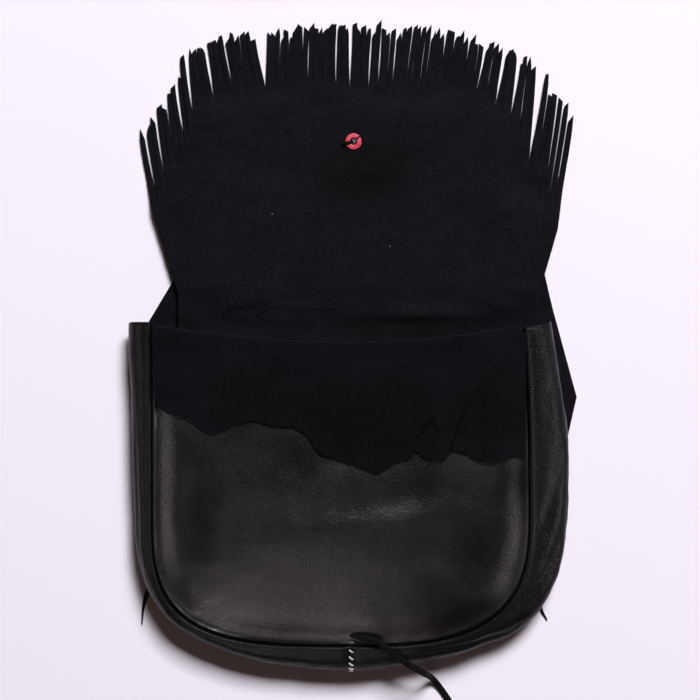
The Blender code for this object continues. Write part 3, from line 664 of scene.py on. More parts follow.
def waxed_thread(name):
    nodes = Nodes(name)
    twist = nodes.add("ShaderNodeTexWave", bands_direction="DIAGONAL")
    twist.inputs["Scale"].default_value = 420.0
    twist.inputs["Distortion"].default_value = 1.5
    nodes.join(nodes.place, twist.inputs["Vector"])
    nodes.set("Base Color", nodes.colors(twist.outputs["Fac"], (0.52, 0.5, 0.48), (0.8, 0.79, 0.78)))
    nodes.set("Roughness", 0.75)
    nodes.set("Normal", nodes.bump(twist.outputs["Fac"], 0.5, 0.0003))
    return nodes.material


def pale_floor(name):
    nodes = Nodes(name)
    broad = nodes.noise(3.0, 2.0, 0.5)
    nodes.set("Base Color", nodes.colors(broad, (0.875, 0.86, 0.915), (0.895, 0.88, 0.935)))
    nodes.set("Roughness", 0.9)
    nodes.set("Specular IOR Level", 0.2)
    return nodes.material


# Camera first, then cords


def place_camera():
    data = bpy.data.cameras.new("camera")
    data.sensor_width = 36.0
    data.lens = 36.0 * CAMERA_HEIGHT / VIEW_WIDTH
    data.clip_end = 20.0
    camera = bpy.data.objects.new("camera", data)
    camera.location = (*CAMERA_CENTRE, CAMERA_HEIGHT)
    bpy.context.scene.collection.objects.link(camera)
    bpy.context.scene.camera = camera


def smooth_route(route, steps=2):
    """Points of a smooth curve through the route's own points."""
    points = [Vector(place) * MM for place in route]
    ends = [points[0] * 2 - points[1], *points, points[-1] * 2 - points[-2]]
    curve = []
    for before, start, end, after in zip(ends, ends[1:], ends[2:], ends[3:]):
        for step in range(steps):
            t = step / steps
            near = start * (2 - 5 * t * t + 3 * t**3) + end * (t + 4 * t * t - 3 * t**3)
            far = before * (-t + 2 * t * t - t**3) + after * (t**3 - t * t)
            curve.append((near + far) / 2)
    return [*curve, points[-1]]


def flat_lace(name, points, width, thickness, surface, radii=None, tilts=None):
    """A flat lace with rounded edges along the points."""
    curve = bpy.data.curves.new(name, "CURVE")
    curve.dimensions = "3D"
    curve.twist_mode = "Z_UP"
    curve.bevel_depth = thickness / 2
    curve.bevel_resolution = 3
    curve.extrude = (width - thickness) / 2
    curve.use_fill_caps = True
    spline = curve.splines.new("POLY")
    spline.points.add(len(points) - 1)
    for index, point in enumerate(points):
        spline.points[index].co = (*point, 1.0)
        spline.points[index].tilt = math.pi / 2 + (tilts[index] if tilts else 0.0)
        spline.points[index].radius = radii[index] if radii else 1.0
    spline.use_smooth = True
    curve.materials.append(surface)
    lace = bpy.data.objects.new(name, curve)
    bpy.context.scene.collection.objects.link(lace)
    return lace


def build_cords(surface):
    points = smooth_route(CLOSURE_ROUTE, 4)
    count = len(points)
    tilts = []
    for index, point in enumerate(points):
        free = between((0.3, 1.0), smooth_step(point.z, 1.2 * MM, 6 * MM))
        tilts.append(0.35 * math.sin(index * 0.11) * free * smooth_step(index / count, 0.05, 0.3))
    radii = []
    for index in range(count):
        uneven = 0.06 * ripple(index * MM, 0.0, 9 * MM)
        radii.append(between((0.7, 1.0), smooth_step(index, 0, 10)) + uneven)
    thong = flat_lace("closure_thong", points, LACE_WIDTH, LACE_THICKNESS, surface, radii, tilts)
    finish_cord(thong, "closure_lace")
    for name, node, route in (
        ("left_lace_end", "lace_tail_left", LEFT_TAIL_ROUTE),
        ("right_lace_end", "lace_tail_right", RIGHT_TAIL_ROUTE),
    ):
        points = smooth_route([(x, y, TAIL_HEIGHT) for x, y in route], 4)
        last = len(points) - 1
        radii = [1.0 - 0.7 * smooth_step(index / last, 0.6, 1.0) for index in range(last + 1)]
        lace = flat_lace(name, points, TAIL_WIDTH, TAIL_THICKNESS, surface, radii)
        finish_cord(lace, node)


def finish_cord(lace, node):
    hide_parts(node)
    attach(lace, "pouch")


# Outlines shared by the panels and the gusset


class Outline:
    """A pouch outline: straight sides above CORNER_START and a rounded bottom below it."""

    def __init__(self, left, right, top, bottom, lean=0.0, sag=0.0):
        self.left, self.right, self.top, self.bottom = left, right, top, bottom
        self.lean, self.sag = lean, sag

    def point(self, across, down):
        half = self.left if across < 0 else self.right
        square = CORNER_SQUARENESS_LEFT if across < 0 else CORNER_SQUARENESS_RIGHT
        if down <= 0:
            height = self.top - self.sag * (1 - across * across) - CORNER_START
            lean = self.lean * max(across, 0.0) * down * down
            return Vector((half * across - lean, CORNER_START - down * height))
        reach = max(abs(across), down)
        norm = (abs(across) ** square + down**square) ** (1 / square)
        fit = reach / norm
        return Vector((half * across * fit, CORNER_START + down * fit * (self.bottom - CORNER_START)))

    def inset(self, amount):
        return Outline(
            self.left - amount, self.right - amount, self.top, self.bottom + amount, self.lean, self.sag
        )


FRONT = Outline(FRONT_LEFT, FRONT_RIGHT, FRONT_TOP, FRONT_BOTTOM, MOUTH_LEAN)
BACK = Outline(BACK_LEFT, BACK_RIGHT, BACK_TOP, BACK_BOTTOM)


def grid_places(half_columns, side_rows, corner_rows):
    across = [i / half_columns for i in range(-half_columns, half_columns + 1)]
    down = [j / side_rows for j in range(-side_rows, 0)] + [j / corner_rows for j in range(corner_rows + 1)]
    return across, down


def edge_places(across, down):
    left = [(-1.0, d) for d in down]
    bottom = [(a, 1.0) for a in across[1:-1]]
    right = [(1.0, d) for d in reversed(down)]
    return left + bottom + right


def outward_aims(points):
    aims = []
    for index in range(len(points)):
        before = points[max(index - 1, 0)]
        after = points[min(index + 1, len(points) - 1)]
        along = (after - before).normalized()
        aims.append(Vector((along.y, -along.x)))
    return aims


def back_lift(y):
    return BACK_LIFT * smooth_step(y, LIFT_START, LIFT_END)


# Front panel with its turned-down cuff


def front_height(across, down, place=None):
    """Height of the front panel's smooth side. With a place it also has the panel's swells and puckers."""
    reach = max(abs(across), down)
    mouth = max(-down, 0.0) ** 2
    crown = PANEL_CROWN * (1 - reach**2) * (1 - mouth)
    dip = MOUTH_DIP * mouth * (1 - across * across)
    height = FRONT_SEAM_HEIGHT + PANEL_PUFF + crown - dip
    if place is None:
        return height
    side_room = (1 - abs(across)) * (FRONT_LEFT if across < 0 else FRONT_RIGHT)
    bottom_room = (1 - down) * (CORNER_START - FRONT_BOTTOM) if down > 0 else FRONT_LEFT
    room = min(side_room, bottom_room)
    height += EDGE_PUFF * (1 - math.exp(-((room / EDGE_ROUND) ** 2))) - EDGE_SINK
    below = -place.y - BELLY_TILT * (BELLY_PIVOT - place.x)
    belly = smooth_step(below, 0.0, 16 * MM) * (1 - smooth_step(below, 20 * MM, 80 * MM))
    height += BELLY_RISE * belly * math.exp(-(((place.x - BELLY_CENTRE) / BELLY_REACH) ** 2))
    for swell in PANEL_SWELLS:
        height += hump(place.x, place.y, swell)
    edge = smooth_step(reach, 0.85, 0.99)
    height += edge * 0.25 * MM * ripple(place.x, place.y, 11 * MM, 2.0)
    height += 0.55 * MM * ripple(place.x, place.y, 34 * MM, 5.0)
    height += 0.12 * MM * ripple(place.x, place.y, 12 * MM, 7.0)
    return height


def cuff_relief(x, y):
    """Swells and folds of the cuff: a fold rises gently from its right and falls steeply at its line."""
    relief = 0.0
    for swell in CUFF_SWELLS:
        relief += hump(x, y, swell)
    for line, height in CUFF_FOLDS:
        away, share, side = distance_to_line(x, y, line)
        fade = smooth_step(share, 0.0, 0.3)
        slope = math.exp(-((away / 8.0) ** 2)) if side < 0 else math.exp(-((away / 1.3) ** 2))
        relief += height * MM * fade * slope
    return relief + 0.2 * MM * ripple(x, y, 14 * MM, 8.0)


def crease_shade_depth(x, y):
    """How dark the painted shade along the cuff's crease lines is at a place, from 0 to 0.95."""
    deepest = 0.0
    for line, _ in CUFF_FOLDS:
        away, share, _ = distance_to_line(x, y, line)
        depth = smooth_step(share, 0.0, 0.4) * math.exp(-((away / 0.8) ** 2))
        deepest = max(deepest, 0.95 * depth)
    return deepest


def seam_rings(seam_level, side, turn):
    """Rings of a panel's turned-in edge: each one's offset, the seam's level, and its height from there."""
    rings = []
    for inward, drop in SEAM_CURVE:
        height = drop * SEAM_ROUND
        if turn > 0:
            height = max(height, 0.0)
        rings.append((side * (SEAM_GAP + inward * SEAM_ROUND), seam_level, turn * height))
    rings.append((side * SEAM_GAP, seam_level, turn * SEAM_LIP))
    return rings


def panel_mesh(outline, inside, inside_height, rings, across, down):
    places = edge_places(across, down)
    points = [outline.point(a, d) for a, d in places]
    aims = outward_aims(points)
    vertices = []
    for d in down:
        for a in across:
            place = inside.point(a, d)
            vertices.append((place.x, place.y, inside_height(a, d, place)))
    wide, rows = len(across), len(down)
    faces = grid_faces(rows, wide)
    edge = [row * wide for row in range(rows)]
    edge += [(rows - 1) * wide + column for column in range(1, wide - 1)]
    edge += [row * wide + wide - 1 for row in reversed(range(rows))]
    previous = edge
    for offset, level, turn in rings:
        current = []
        for point, aim in zip(points, aims):
            place = point + aim * offset
            current.append(len(vertices))
            vertices.append((place.x, place.y, level(point) + turn))
        for index in range(len(edge) - 1):
            faces.append((previous[index], previous[index + 1], current[index + 1], current[index]))
        previous = current
    return vertices, faces


def add_cuff(vertices, faces, inside, across):
    previous = list(range(len(across)))
    rows = [("fold", angle) for angle in (-60, -30, 0, 30, 60, 90)]
    rows += [("lie", (step / CUFF_ROWS) ** 0.9) for step in range(2, CUFF_ROWS + 1)]
    for kind, amount in rows:
        current = []
        for column, a in enumerate(across):
            mouth = inside.point(a, -1.0)
            base = front_height(a, -1.0, mouth)
            if kind == "fold":
                turn = math.radians(amount)
                place = Vector((mouth.x, mouth.y + CUFF_FOLD_RADIUS * math.cos(turn)))
                z = base + CUFF_FOLD_RADIUS * (1 + math.sin(turn))
            else:
                reach_out = CUFF_OVERHANG[0] if a < 0 else CUFF_OVERHANG[1]
                x = mouth.x + reach_out * a**9
                free_edge = curved_profile(CUFF_EDGE, x / MM) * MM + 0.5 * MM * ripple(x, 0.0, 5 * MM, 3.0)
                y = mouth.y - amount * (mouth.y - free_edge)
                down_here = -(y - CORNER_START) / (mouth.y - CORNER_START)
                place = Vector((x, y))
                settle = smooth_step(amount, 0.0, 0.3)
                gap = 2 * CUFF_FOLD_RADIUS * (1 - settle) + CUFF_REST_GAP * settle
                relief = cuff_relief(place.x, place.y) * smooth_step(amount, 0.02, 0.2)
                relief += CUFF_EDGE_LIFT * smooth_step(amount, 0.82, 1.0)
                z = front_height(a, down_here, Vector((mouth.x, y))) + gap + max(relief, -0.3 * MM)
            current.append(len(vertices))
            vertices.append((place.x, place.y, z))
        for column in range(len(across) - 1):
            faces.append((previous[column], previous[column + 1], current[column + 1], current[column]))
        previous = current


def build_front(grain, napped, edge):
    across, down = grid_places(90, 34, 36)
    inside = FRONT.inset(PANEL_INSET)
    inside.sag = MOUTH_SAG
    rings = seam_rings(lambda point: FRONT_SEAM_HEIGHT + FRONT_SEAM_RISE, -1, -1)
    vertices, faces = panel_mesh(FRONT, inside, front_height, rings, across, down)
    add_cuff(vertices, faces, inside, across)
    panel = mesh_piece("front_leather", vertices, faces, [grain, napped, edge])
    face_up(panel, True, len(across) * 20)
    # Painted shade along the cuff's crease lines: how dark each point is, for the cuff suede
    crease_shade_values = panel.data.attributes.new("crease", "FLOAT", "POINT")
    for vertex in panel.data.vertices:
        crease_shade_values.data[vertex.index].value = crease_shade_depth(vertex.co.x, vertex.co.y)
    thicken(panel, PANEL_LEATHER, -1.0)
    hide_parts("front_panel")
    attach(panel, "pouch")


def back_height(across, down, place):
    """Height of the back panel at a place, in the form that panel_mesh calls."""
    return back_lift(place.y)


def build_back(grain, napped, edge):
    across, down = grid_places(30, 18, 20)
    inside = BACK.inset(PANEL_INSET)
    rings = seam_rings(lambda point: back_lift(point.y), -1, 1)
    vertices, faces = panel_mesh(BACK, inside, back_height, rings, across, down)
    panel = mesh_piece("back_leather_panel", vertices, faces, [grain, napped, edge])
    face_up(panel, False, len(across) * 10)
    thicken(panel, PANEL_LEATHER, -1.0)
    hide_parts("back_panel")
    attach(panel, "pouch")


# Gusset


def gusset_section(front, front_aim, back, back_aim, bulge, share):
    """Points across the gusset, from its front seam lip over the outside to its back seam lip."""
    level = FRONT_SEAM_HEIGHT + FRONT_SEAM_RISE
    lift = back_lift(back.y)
    section = [(front + front_aim * SEAM_GAP, level - SEAM_LIP)]
    for inward, drop in GUSSET_FRONT_CURVE:
        section.append((front + front_aim * (SEAM_GAP + inward * SEAM_ROUND), level - drop * SEAM_ROUND))
    crest = SEAM_GAP + 1.7 * SEAM_ROUND
    top = level - 0.3 * SEAM_ROUND
    wide = smooth_step(bulge, 12 * MM, 24 * MM)
    for step in range(1, 17):
        turn = math.radians(90 - 90 * step / 16)
        reach = crest + (bulge - crest) * math.cos(turn)
        height = GUSSET_WIDEST_HEIGHT + (top - GUSSET_WIDEST_HEIGHT) * math.sin(turn) ** (1 - 0.25 * wide)
        section.append((front + front_aim * reach, height))
    widest = front + front_aim * bulge
    under = back + back_aim * (SEAM_GAP + SEAM_ROUND)
    for step in range(1, 13):
        turn = math.radians(90 * step / 12)
        place = under + (widest - under) * math.cos(turn)
        height = GUSSET_WIDEST_HEIGHT - (GUSSET_WIDEST_HEIGHT - lift) * math.sin(turn)
        section.append((place, height))
    for inward, rise in GUSSET_BACK_CURVE:
        section.append((back + back_aim * (SEAM_GAP + inward * SEAM_ROUND), lift + rise * SEAM_ROUND))
    section.append((back + back_aim * SEAM_GAP, lift + SEAM_LIP))
    made = []
    mouth = 1 - smooth_step(min(share, 1 - share), 0.0, 0.035)
    swell_aim = Vector((front_aim.x, front_aim.y, 0.8))
    for index, (place, height) in enumerate(section):
        hem = profile(MOUTH_HEM_LEFT if share < 0.5 else MOUTH_HEM_RIGHT, index) * MM
        push = gusset_creases(index, len(section) - 1, share, wide)
        made.append(Vector((place.x, place.y + hem * mouth, height)) + swell_aim * push)
    return made


def gusset_creases(index, last, share, wide):
    """How far the loose middle of the gusset stands out: soft waves, less its slanting grooves."""
    loose = smooth_step(index, 8, 12) * (1 - smooth_step(index, last - 12, last - 6))
    along = share * GUSSET_LENGTH
    push = 0.6 * MM * ripple(along, index * 1.1 * MM, 24 * MM, 4.0) * loose
    wave = ripple(along + index * 0.9 * MM, index * 1.8 * MM, 8 * MM, 9.0)
    push += 0.45 * MM * wave * loose * (0.2 + wide)
    for start, end, first, final, depth in GUSSET_GROOVES:
        centre = first + (final - first) * smooth_step(share, start, end)
        reach = smooth_step(share, start, start + 0.06) * (1 - smooth_step(share, end - 0.06, end))
        push -= depth * MM * reach * math.exp(-(((index - centre) / 2.2) ** 2))
    return push - 0.2 * MM * loose


def gusset_sections():
    across, down = grid_places(64, 40, 40)
    places = edge_places(across, down)
    front = [FRONT.point(a, d) for a, d in places]
    back = [BACK.point(a, d) for a, d in places]
    front_aims, back_aims = outward_aims(front), outward_aims(back)
    sections = []
    for index, edges in enumerate(zip(front, front_aims, back, back_aims)):
        share = index / (len(places) - 1)
        bulge = curved_profile(GUSSET_BULGE, share) * MM
        sections.append(gusset_section(*edges, bulge, share))
    return sections


def build_gusset(name, node, sections, materials):
    across = len(sections[0])
    vertices = [point for section in sections for point in section]
    gusset = mesh_piece(name, vertices, grid_faces(len(sections), across), materials)
    widest = gusset.data.polygons[(len(sections) // 4) * (across - 1) + 20]
    if widest.normal.x * widest.center.x < 0:
        gusset.data.flip_normals()
    thicken(gusset, PANEL_LEATHER, -1.0)
    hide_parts(node)
    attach(gusset, "pouch")


def build_gussets(grain, napped, edge):
    sections = gusset_sections()
    middle = len(sections) // 2
    left, right = sections[: middle + 1], sections[middle:]
    for half, end, outward in ((left, -1, -1), (right, 0, 1)):
        half[end] = [point + Vector((outward * SEAM_GAP, 0, 0)) for point in half[end]]
    for half, order in ((left, (-1, -2, -3, -4)), (right, (0, 1, 2, 3))):
        for index, depth in zip(order, (0.9, 0.45, 0.15, 0.0)):
            half[index] = [
                point + Vector((0, depth, -depth * smooth_step(point.z, 2 * MM, 10 * MM))) * MM
                for point in half[index]
            ]
    build_gusset("left_gusset_leather", "gusset_left", left, [grain, napped, edge])
    build_gusset("right_gusset_leather", "gusset_right", right, [grain, napped, edge])


# Flap with its fringe


def flap_height(x, y):
    height = profile(FLAP_PROFILE, y / MM) * MM
    droop = smooth_step(y, 112 * MM, 130 * MM) * (1 - smooth_step(y, 172 * MM, 190 * MM))
    height -= LEFT_DROOP * droop * smooth_step(-x, 86 * MM, 110 * MM)
    over_strap = smooth_step(y, 112 * MM, 128 * MM) * (1 - smooth_step(y, 182 * MM, 200 * MM))
    over_strap *= (1 - smooth_step(x, 78 * MM, 94 * MM)) * smooth_step(x, -88 * MM, -76 * MM)
    height -= STRAP_REST * over_strap
    settled = smooth_step(y, 172 * MM, 190 * MM) * smooth_step(abs(x), 80 * MM, 124 * MM)
    height += (SIDE_REST - height) * settled
    open_part = smooth_step(y, 108 * MM, 122 * MM) * (1 - smooth_step(y, 236 * MM, 262 * MM))
    for swell in FLAP_SWELLS:
        height += hump(x, y, swell) * smooth_step(y, 104 * MM, 112 * MM)
    height += 0.5 * MM * (1 + ripple(x, y, 26 * MM, 6.0)) * open_part
    wrinkle = smooth_step(y, 104 * MM, 112 * MM) * (1 - smooth_step(y, 124 * MM, 142 * MM))
    height += 0.7 * MM * (1 + ripple(x * 1.0, y * 2.4, 15 * MM, 11.0)) * wrinkle
    creased = wrinkle * math.exp(-(((x / MM + 78) / 22) ** 2))
    height += 0.6 * MM * (1 + ripple(x * 2.2, y, 7 * MM, 12.0)) * creased
    return height


def parting(strand):
    push = 0.0
    for place, amount, reach in FRINGE_PARTINGS:
        away = strand - place * STRANDS
        push += math.copysign(amount * MM, away) * math.exp(-abs(away) / reach)
    return push


def build_flap(napped, grain, edge):
    """One piece of suede: a field of columns that end in free strands."""
    chance = random.Random(11)
    vertices, faces = [], []
    field = []
    lap_rows, field_rows = 8, 84
    columns = STRANDS * 2
    for place in range(columns + 1):
        share = place / columns
        cut_y = curved_profile(FRINGE_CUTS, share) * MM
        cut_x = between(FLAP_CUT_X, share)
        root_x = between(FLAP_ROOT_X, share)
        column = []
        for row in range(lap_rows):
            y = FLAP_LAP_Y + (FLAP_ROOT_Y - FLAP_LAP_Y) * row / lap_rows
            x = root_x * (0.955 + 0.045 * row / lap_rows)
            column.append(len(vertices))
            vertices.append(Vector((x, y, flap_height(x, y))))
        for row in range(field_rows + 1):
            amount = row / field_rows
            y = FLAP_ROOT_Y + (cut_y - FLAP_ROOT_Y) * amount
            x = root_x + (cut_x - root_x) * curved_profile(FLAP_WIDENING, amount)
            column.append(len(vertices))
            vertices.append(Vector((x, y, flap_height(x, y))))
        field.append(column)
    for line, beside in zip(field, field[1:]):
        for row in range(lap_rows + field_rows):
            faces.append((line[row], beside[row], beside[row + 1], line[row + 1]))
    clump = 0.0
    for strand in range(STRANDS):
        clump += chance.uniform(-0.7, 0.7) - clump * 0.35
        add_strand(strand, clump, field, vertices, faces, chance)
    flap = mesh_piece("fringed_suede_flap", vertices, faces, [napped, grain, edge])
    face_up(flap, True, 40)
    mesh = flap.data
    thicken(flap, FLAP_LEATHER, -1.0, 0.0)
    full = flap.vertex_groups.new(name="leather share")
    for vertex in mesh.vertices:
        share = between((1.0, STRAND_THINNESS), smooth_step(vertex.co.y, 240 * MM, 262 * MM))
        vertex.co.z += FLAP_LEATHER * share
        full.add([vertex.index], share, "REPLACE")
    flap.modifiers["leather thickness"].vertex_group = full.name
    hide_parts("flap")
    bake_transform(flap)


def add_strand(strand, clump, field, vertices, faces, chance):
    """A free strand: parallel edges, a lean with its clump, a slight bow and a slanted cut at its tip."""
    line = strand * 2
    base = [field[line][-1], field[line + 1][-1], field[line + 2][-1]]
    pitch = (FLAP_TIP_X[1] - FLAP_TIP_X[0]) / STRANDS
    share = (strand + 0.5) / STRANDS
    lean = parting(strand + 0.5) + (clump * 0.22 + chance.uniform(-0.22, 0.22)) * pitch
    tip_y = curved_profile(FRINGE_TIPS, share) * MM + chance.choice((-6.0, -3.0, -1.5, -0.5, 0.5, 1.0)) * MM
    tip_x = between(FLAP_TIP_X, share) + lean
    half = pitch * chance.uniform(0.44, 0.55)
    slant = chance.uniform(0.5, 4.5) * MM * chance.choice((-1, 1, 1))
    bow = chance.uniform(-0.5, 0.5) * MM
    blunt = chance.choice((0.05, 0.1, 0.2, 0.35, 0.5))
    lift = (0.0 if strand % 2 else 0.6 * MM) + chance.uniform(0.0, 0.3) * MM
    twist = chance.uniform(-0.3, 0.3) * MM
    starts = [Vector(vertices[index]) for index in base]
    centre = starts[1]
    previous = base
    for step in range(1, STRAND_STEPS + 1):
        amount = step / STRAND_STEPS
        current = []
        ease = amount * amount * (3 - 2 * amount)
        sway = centre.x + (tip_x - centre.x) * (0.75 * amount + 0.25 * ease)
        sway += bow * math.sin(math.pi * amount)
        narrow = 1.0 - blunt * smooth_step(amount, 0.9, 1.0)
        for side, start in zip((-1, 0, 1), starts):
            open_cut = smooth_step(amount, 0.0, 0.18)
            width = (abs(start.x - centre.x) * (1 - open_cut) + half * open_cut) * narrow
            y = start.y + (tip_y - start.y) * amount + slant * side / 2 * smooth_step(amount, 0.88, 1.0)
            x = sway + side * width
            rise = lift * smooth_step(amount, 0.0, 0.3) * (1 - 0.5 * smooth_step(amount, 0.7, 1.0))
            laid = smooth_step(amount, 0.0, 0.45)
            z = min(flap_height(x, y), start.z * (1 - laid) + STRAND_REST * laid)
            current.append(len(vertices))
            vertices.append(Vector((x, y, z + rise + side * twist * amount)))
        for column in range(2):
            faces.append((previous[column], previous[column + 1], current[column + 1], current[column]))
        previous = current


# Shoulder strap


def crease(place, aim_in, aim_out):
    """The two ends of the line about which a flat strap folds from one direction into the other."""
    line = Vector(aim_in) + Vector(aim_out)
    if line.length < 1e-6:
        line = Vector((-aim_in[1], aim_in[0]))
    line.normalize()
    across = abs(line.x * aim_in[1] - line.y * aim_in[0])
    half = STRAP_WIDTH / 2 / across
    side = Vector((-aim_in[1], aim_in[0]))
    line = line if line.dot(side) > 0 else -line
    return Vector(place) + line * half, Vector(place) - line * half


def strap_rows():
    left_aim, right_aim = Vector(STRAP_LEFT_AIM).normalized(), Vector(STRAP_RIGHT_AIM).normalized()
    left_end, right_end = Vector(STRAP_LEFT_END), Vector(STRAP_RIGHT_END)
    left_turn = left_end + left_aim * ((STRAP_STACK_Y - left_end.y) / left_aim.y)
    right_turn = right_end - right_aim * ((right_end.y - STRAP_STACK_Y) / right_aim.y)
    rightward, leftward = Vector((1, 0)), Vector((-1, 0))
    turns = [
        (left_turn, left_aim, rightward),
        (Vector((STRAP_TURN_RIGHT, STRAP_STACK_Y)), rightward, leftward),
        (Vector((STRAP_TURN_LEFT, STRAP_STACK_Y)), leftward, rightward),
        (right_turn, rightward, right_aim),
    ]
    bend = STRAP_PITCH / 2
    side = Vector((-left_aim.y, left_aim.x)) * STRAP_WIDTH / 2
    rows = [(left_end + side, left_end - side, 0.0)]
    flipped = 1
    for level, (place, aim_in, aim_out) in enumerate(turns):
        first, second = crease(place, aim_in, aim_out)
        if flipped < 0:
            first, second = second, first
        fold_line = (first - second).normalized()
        push = aim_in - fold_line * aim_in.dot(fold_line)
        push.normalize()
        for degrees in (-90, -60, -30, 0, 30, 60, 90):
            turn = math.radians(degrees)
            out = push * bend * math.cos(turn)
            rows.append((first + out, second + out, level * STRAP_PITCH + bend * (1 + math.sin(turn))))
        flipped = -flipped
    top = len(turns) * STRAP_PITCH
    side = Vector((-right_aim.y, right_aim.x)) * STRAP_WIDTH / 2 * flipped
    for distance in (88, 82, 76, 70, 64, 58, 54, 40, 20, 0):
        place = right_end - right_aim * distance * MM
        rows.append((place + side, place - side, top * smooth_step(distance, 56, 88)))
    point = right_end + right_aim * STRAP_POINT
    rows.append((point + side * 0.12, point - side * 0.12, 0.0))
    return rows


def build_strap(grain, edge):
    rows = strap_rows()
    columns = 9
    vertices = []
    for first, second, height in rows:
        for column in range(columns):
            place = first + (second - first) * column / (columns - 1)
            vertices.append(Vector((place.x, place.y, height + STRAP_LEATHER / 2)))
    strap = mesh_piece("leather_strap", vertices, grid_faces(len(rows), columns), [grain, grain, edge])
    thicken(strap, STRAP_LEATHER, 0.0)
    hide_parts("shoulder_strap")
    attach(strap, "pouch")


# Washer, button and the lace through them


def turned_piece(name, section, place, bottom, surface, steps=64):
    """A round piece with a centre hole, turned from its half section."""
    vertices, faces = [], []
    count = len(section)
    for step in range(steps):
        turn = 2 * math.pi * step / steps
        aim = Vector((math.cos(turn), math.sin(turn), 0.0))
        for radius, z in section:
            vertices.append(Vector((*place, bottom + z)) + aim * radius)
    for step in range(steps):
        start, following = step * count, (step + 1) % steps * count
        for index in range(count):
            after = (index + 1) % count
            faces.append((start + index, start + after, following + after, following + index))
    return mesh_piece(name, vertices, faces, [surface])


def rounded_section(hole, outer, height, edge, dome=0.0):
    section = [(hole, 0.0)]
    for centre, low in (((outer - edge, edge), -90), ((outer - edge, height - edge), 0)):
        for step in range(5):
            turn = math.radians(low + 22.5 * step)
            section.append((centre[0] + edge * math.cos(turn), centre[1] + edge * math.sin(turn)))
    for share in (0.25, 0.5, 0.75):
        radius = outer - edge + (hole + edge - outer + edge) * share
        section.append((radius, height + dome * share))
    section.append((hole + edge * 0.4, height + dome - edge * 0.1))
    section.append((hole, height + dome - edge * 0.5))
    return section


def build_button(red, black, lace_black, nub_grey):
    x, y = BUTTON_PLACE
    under = profile(FLAP_PROFILE, y / MM) * MM
    washer_bottom = under + FLAP_LEATHER + BUTTON_GAP
    section = rounded_section(WASHER_OPENING, WASHER_RADIUS, WASHER_HEIGHT, 0.5 * MM, 0.15 * MM)
    washer = turned_piece("red_leather_washer", section, BUTTON_PLACE, washer_bottom, red)
    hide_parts("backing_washer")
    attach(washer, "flap")
    button_bottom = under - BUTTON_GAP - BUTTON_HEIGHT
    section = rounded_section(WASHER_HOLE, BUTTON_RADIUS, BUTTON_HEIGHT, 0.8 * MM)
    button = turned_piece("leather_button", section, BUTTON_PLACE, button_bottom, black)
    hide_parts("outer_button")
    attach(button, "flap")
    top = (washer_bottom + WASHER_HEIGHT + BUTTON_LACE_RADIUS) / MM
    rest = (under + FLAP_LEATHER + BUTTON_LACE_RADIUS) / MM
    knot = (button_bottom - BUTTON_LACE_RADIUS) / MM
    cx, cy = x / MM, y / MM
    route = [
        (cx - 8.4, cy - 2.0, rest - 0.2), (cx - 7.2, cy - 1.9, rest + 0.3), (cx - 5.8, cy - 1.6, top - 0.5),
        (cx - 4.2, cy - 1.1, top - 0.3), (cx - 2.6, cy - 0.7, top - 0.3), (cx - 1.2, cy - 0.3, top - 1.0),
        (cx, cy, top - 1.9), (cx, cy, top - 3.4), (cx, cy, button_bottom / MM), (cx + 0.4, cy, knot),
        (cx + 2.0, cy + 0.3, knot - 0.1), (cx + 4.6, cy + 1.0, knot - 0.1),
    ]
    points = smooth_route(route, 4)
    radii = [between((0.35, 1.0), smooth_step(index, 0, 9)) for index in range(len(points))]
    lace = flat_lace("button_thong", points, THONG_WIDTH, THONG_THICKNESS, lace_black, radii)
    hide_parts("button_lace")
    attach(lace, "flap")
    aim = Vector((math.cos(WASHER_SLIT_AIM), math.sin(WASHER_SLIT_AIM), 0.0))
    slit_start = Vector((x, y, washer_bottom + WASHER_HEIGHT - 0.1 * MM)) + aim * (WASHER_OPENING - 0.3 * MM)
    slit_steps = [slit_start + aim * step * 0.35 * MM for step in range(10)]
    for index, point in enumerate(slit_steps):
        point.z -= 0.5 * MM * smooth_step(index, 8, 9)
    slit = flat_lace("washer_slit_lace", slit_steps, 1.1 * MM, 0.6 * MM, lace_black)
    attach(slit, "flap")
    nub_bottom = washer_bottom + 0.2 * MM
    section = rounded_section(0.1 * MM, LACE_NUB_RADIUS, WASHER_HEIGHT - 0.1 * MM, 0.5 * MM, 0.2 * MM)
    nub = turned_piece("lace_nub", section, BUTTON_PLACE, nub_bottom, nub_grey, 24)
    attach(nub, "flap")


# Stitches over the gusset's centre joint


def build_stitches(thread):
    sections = gusset_sections()
    outside = sections[len(sections) // 2][4:34]
    travelled = [0.0]
    for start, end in zip(outside, outside[1:]):
        travelled.append(travelled[-1] + (end - start).length)
    for number in range(STITCH_COUNT):
        points = []
        for step in range(9):
            side = step / 4 - 1
            along = max(2.2 * MM + number * STITCH_PITCH + side * STITCH_LENGTH / 2, 0.0)
            index = min(max(bisect.bisect_right(travelled, along), 1), len(outside) - 1)
            share = (along - travelled[index - 1]) / (travelled[index] - travelled[index - 1])
            run = outside[index] - outside[index - 1]
            out = Vector((0, run.z, -run.y)).normalized()
            out = out if out.z > 0 or out.y < 0 else -out
            stand = STITCH_RADIUS * (1.0 - 1.5 * abs(side) ** 3)
            point = outside[index - 1] + run * share + out * stand
            points.append(point + Vector((side * STITCH_SLANT / 2, 0, 0)))
        name = f"thread_stitch_{number + 1}"
        stitch = flat_lace(name, points, STITCH_RADIUS * 2.3, STITCH_RADIUS * 2, thread)
        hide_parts(f"gusset_stitch_{number + 1}")
        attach(stitch, "pouch")


# Floor and light


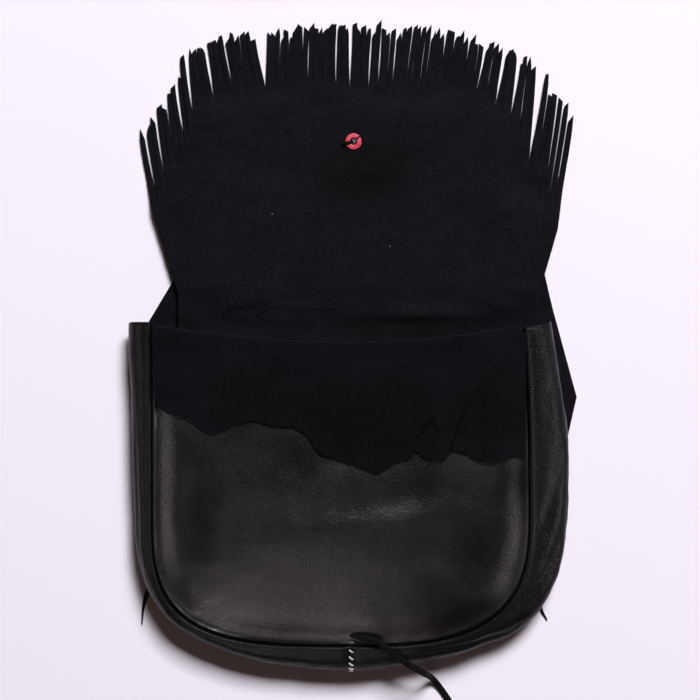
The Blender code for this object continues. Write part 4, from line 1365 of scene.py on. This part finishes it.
def build_stage(surface):
    corners = [(x * FLOOR_REACH, y * FLOOR_REACH, FLOOR) for x, y in ((-1, -1), (1, -1), (1, 1), (-1, 1))]
    floor = mesh_piece("floor", corners, [(0, 1, 2, 3)], [surface])
    floor.location.z = -0.1 * MM


def soft_light(name, place, size, power, color, target=(0.0, 0.05, 0.02), lights="all"):
    """A soft box aimed at the bag. It can light the surfaces alone, show as a sheen alone, or do both."""
    data = bpy.data.lights.new(name, "AREA")
    data.shape = "RECTANGLE"
    data.size, data.size_y = size
    data.energy = power
    data.color = color
    light = bpy.data.objects.new(name, data)
    light.location = place
    aim = Vector(target) - Vector(place)
    light.rotation_euler = aim.to_track_quat("-Z", "Y").to_euler()
    light.visible_diffuse = lights != "sheen"
    light.visible_glossy = lights != "surfaces"
    bpy.context.scene.collection.objects.link(light)


def build_lights():
    cool, warm = (0.985, 0.945, 1.0), (1.0, 0.9, 0.92)
    soft_light("key light", KEY_PLACE, (1.45, 1.45), 284.0, cool, lights="surfaces")
    soft_light("key sheen", KEY_PLACE, (0.7, 0.7), 205.0, cool, lights="sheen")
    soft_light("left light", (-1.05, -0.05, 0.72), (0.6, 0.3), 3.3, warm, lights="sheen")
    soft_light("right light", (1.05, -0.05, 0.72), (0.6, 0.3), 6.6, warm, lights="sheen")
    soft_light("front light", (-0.16, -0.62, 1.55), (0.6, 0.22), 2.5, warm, lights="sheen")
    soft_light("low front light", (-0.35, -1.0, 1.1), (0.5, 0.2), 4.0, warm, lights="sheen")
    soft_light("floor light", (0.1, -1.6, 1.1), (1.2, 0.5), 1.1, (1.0, 0.62, 0.52))
    world = bpy.data.worlds.new("studio")
    world.use_nodes = True
    world.node_tree.nodes["Background"].inputs["Color"].default_value = (1.0, 0.66, 0.58, 1.0)
    world.node_tree.nodes["Background"].inputs["Strength"].default_value = 0.02
    bpy.context.scene.world = world
    bpy.context.scene.view_settings.view_transform = "Standard"


def build_bag():
    place_camera()
    lace_black = lace_leather("black lace")
    build_cords(lace_black)
    edge = cut_edge("cut edge")
    napped = suede("black suede", stains_and_shade=FLAP_STAINS_AND_ROOT_SHADE, crumples_with_shade=FLAP_CRUMPLES_WITH_SHADE)
    cuff_suede = suede(
        "cuff suede", (0.0021, 0.0021, 0.0031), (0.005, 0.0049, 0.0068), 0.7, CUFF_STAINS, creased=True
    )
    panel_grain = grain_leather("panel leather", gloss=0.06)
    front_grain = grain_leather("front leather", gloss=0.06, dull=PANEL_DULL)
    build_front(front_grain, cuff_suede, edge)
    build_back(panel_grain, napped, edge)
    gusset_grain = grain_leather(
        "gusset leather", (0.0026, 0.0024, 0.0026), (0.0058, 0.0052, 0.0054),
        gloss=0.06, slant=0.2, wrinkles=2.6, shine=0.12,
    )
    build_gussets(gusset_grain, napped, edge)
    build_flap(napped, panel_grain, edge)
    build_strap(suede("strap leather", lint=0.5), edge)
    build_button(red_leather("red leather"), lace_black, lace_black, lace_core("lace core"))
    build_stitches(waxed_thread("waxed thread"))
    build_stage(pale_floor("pale floor"))
    build_lights()


build_bag()
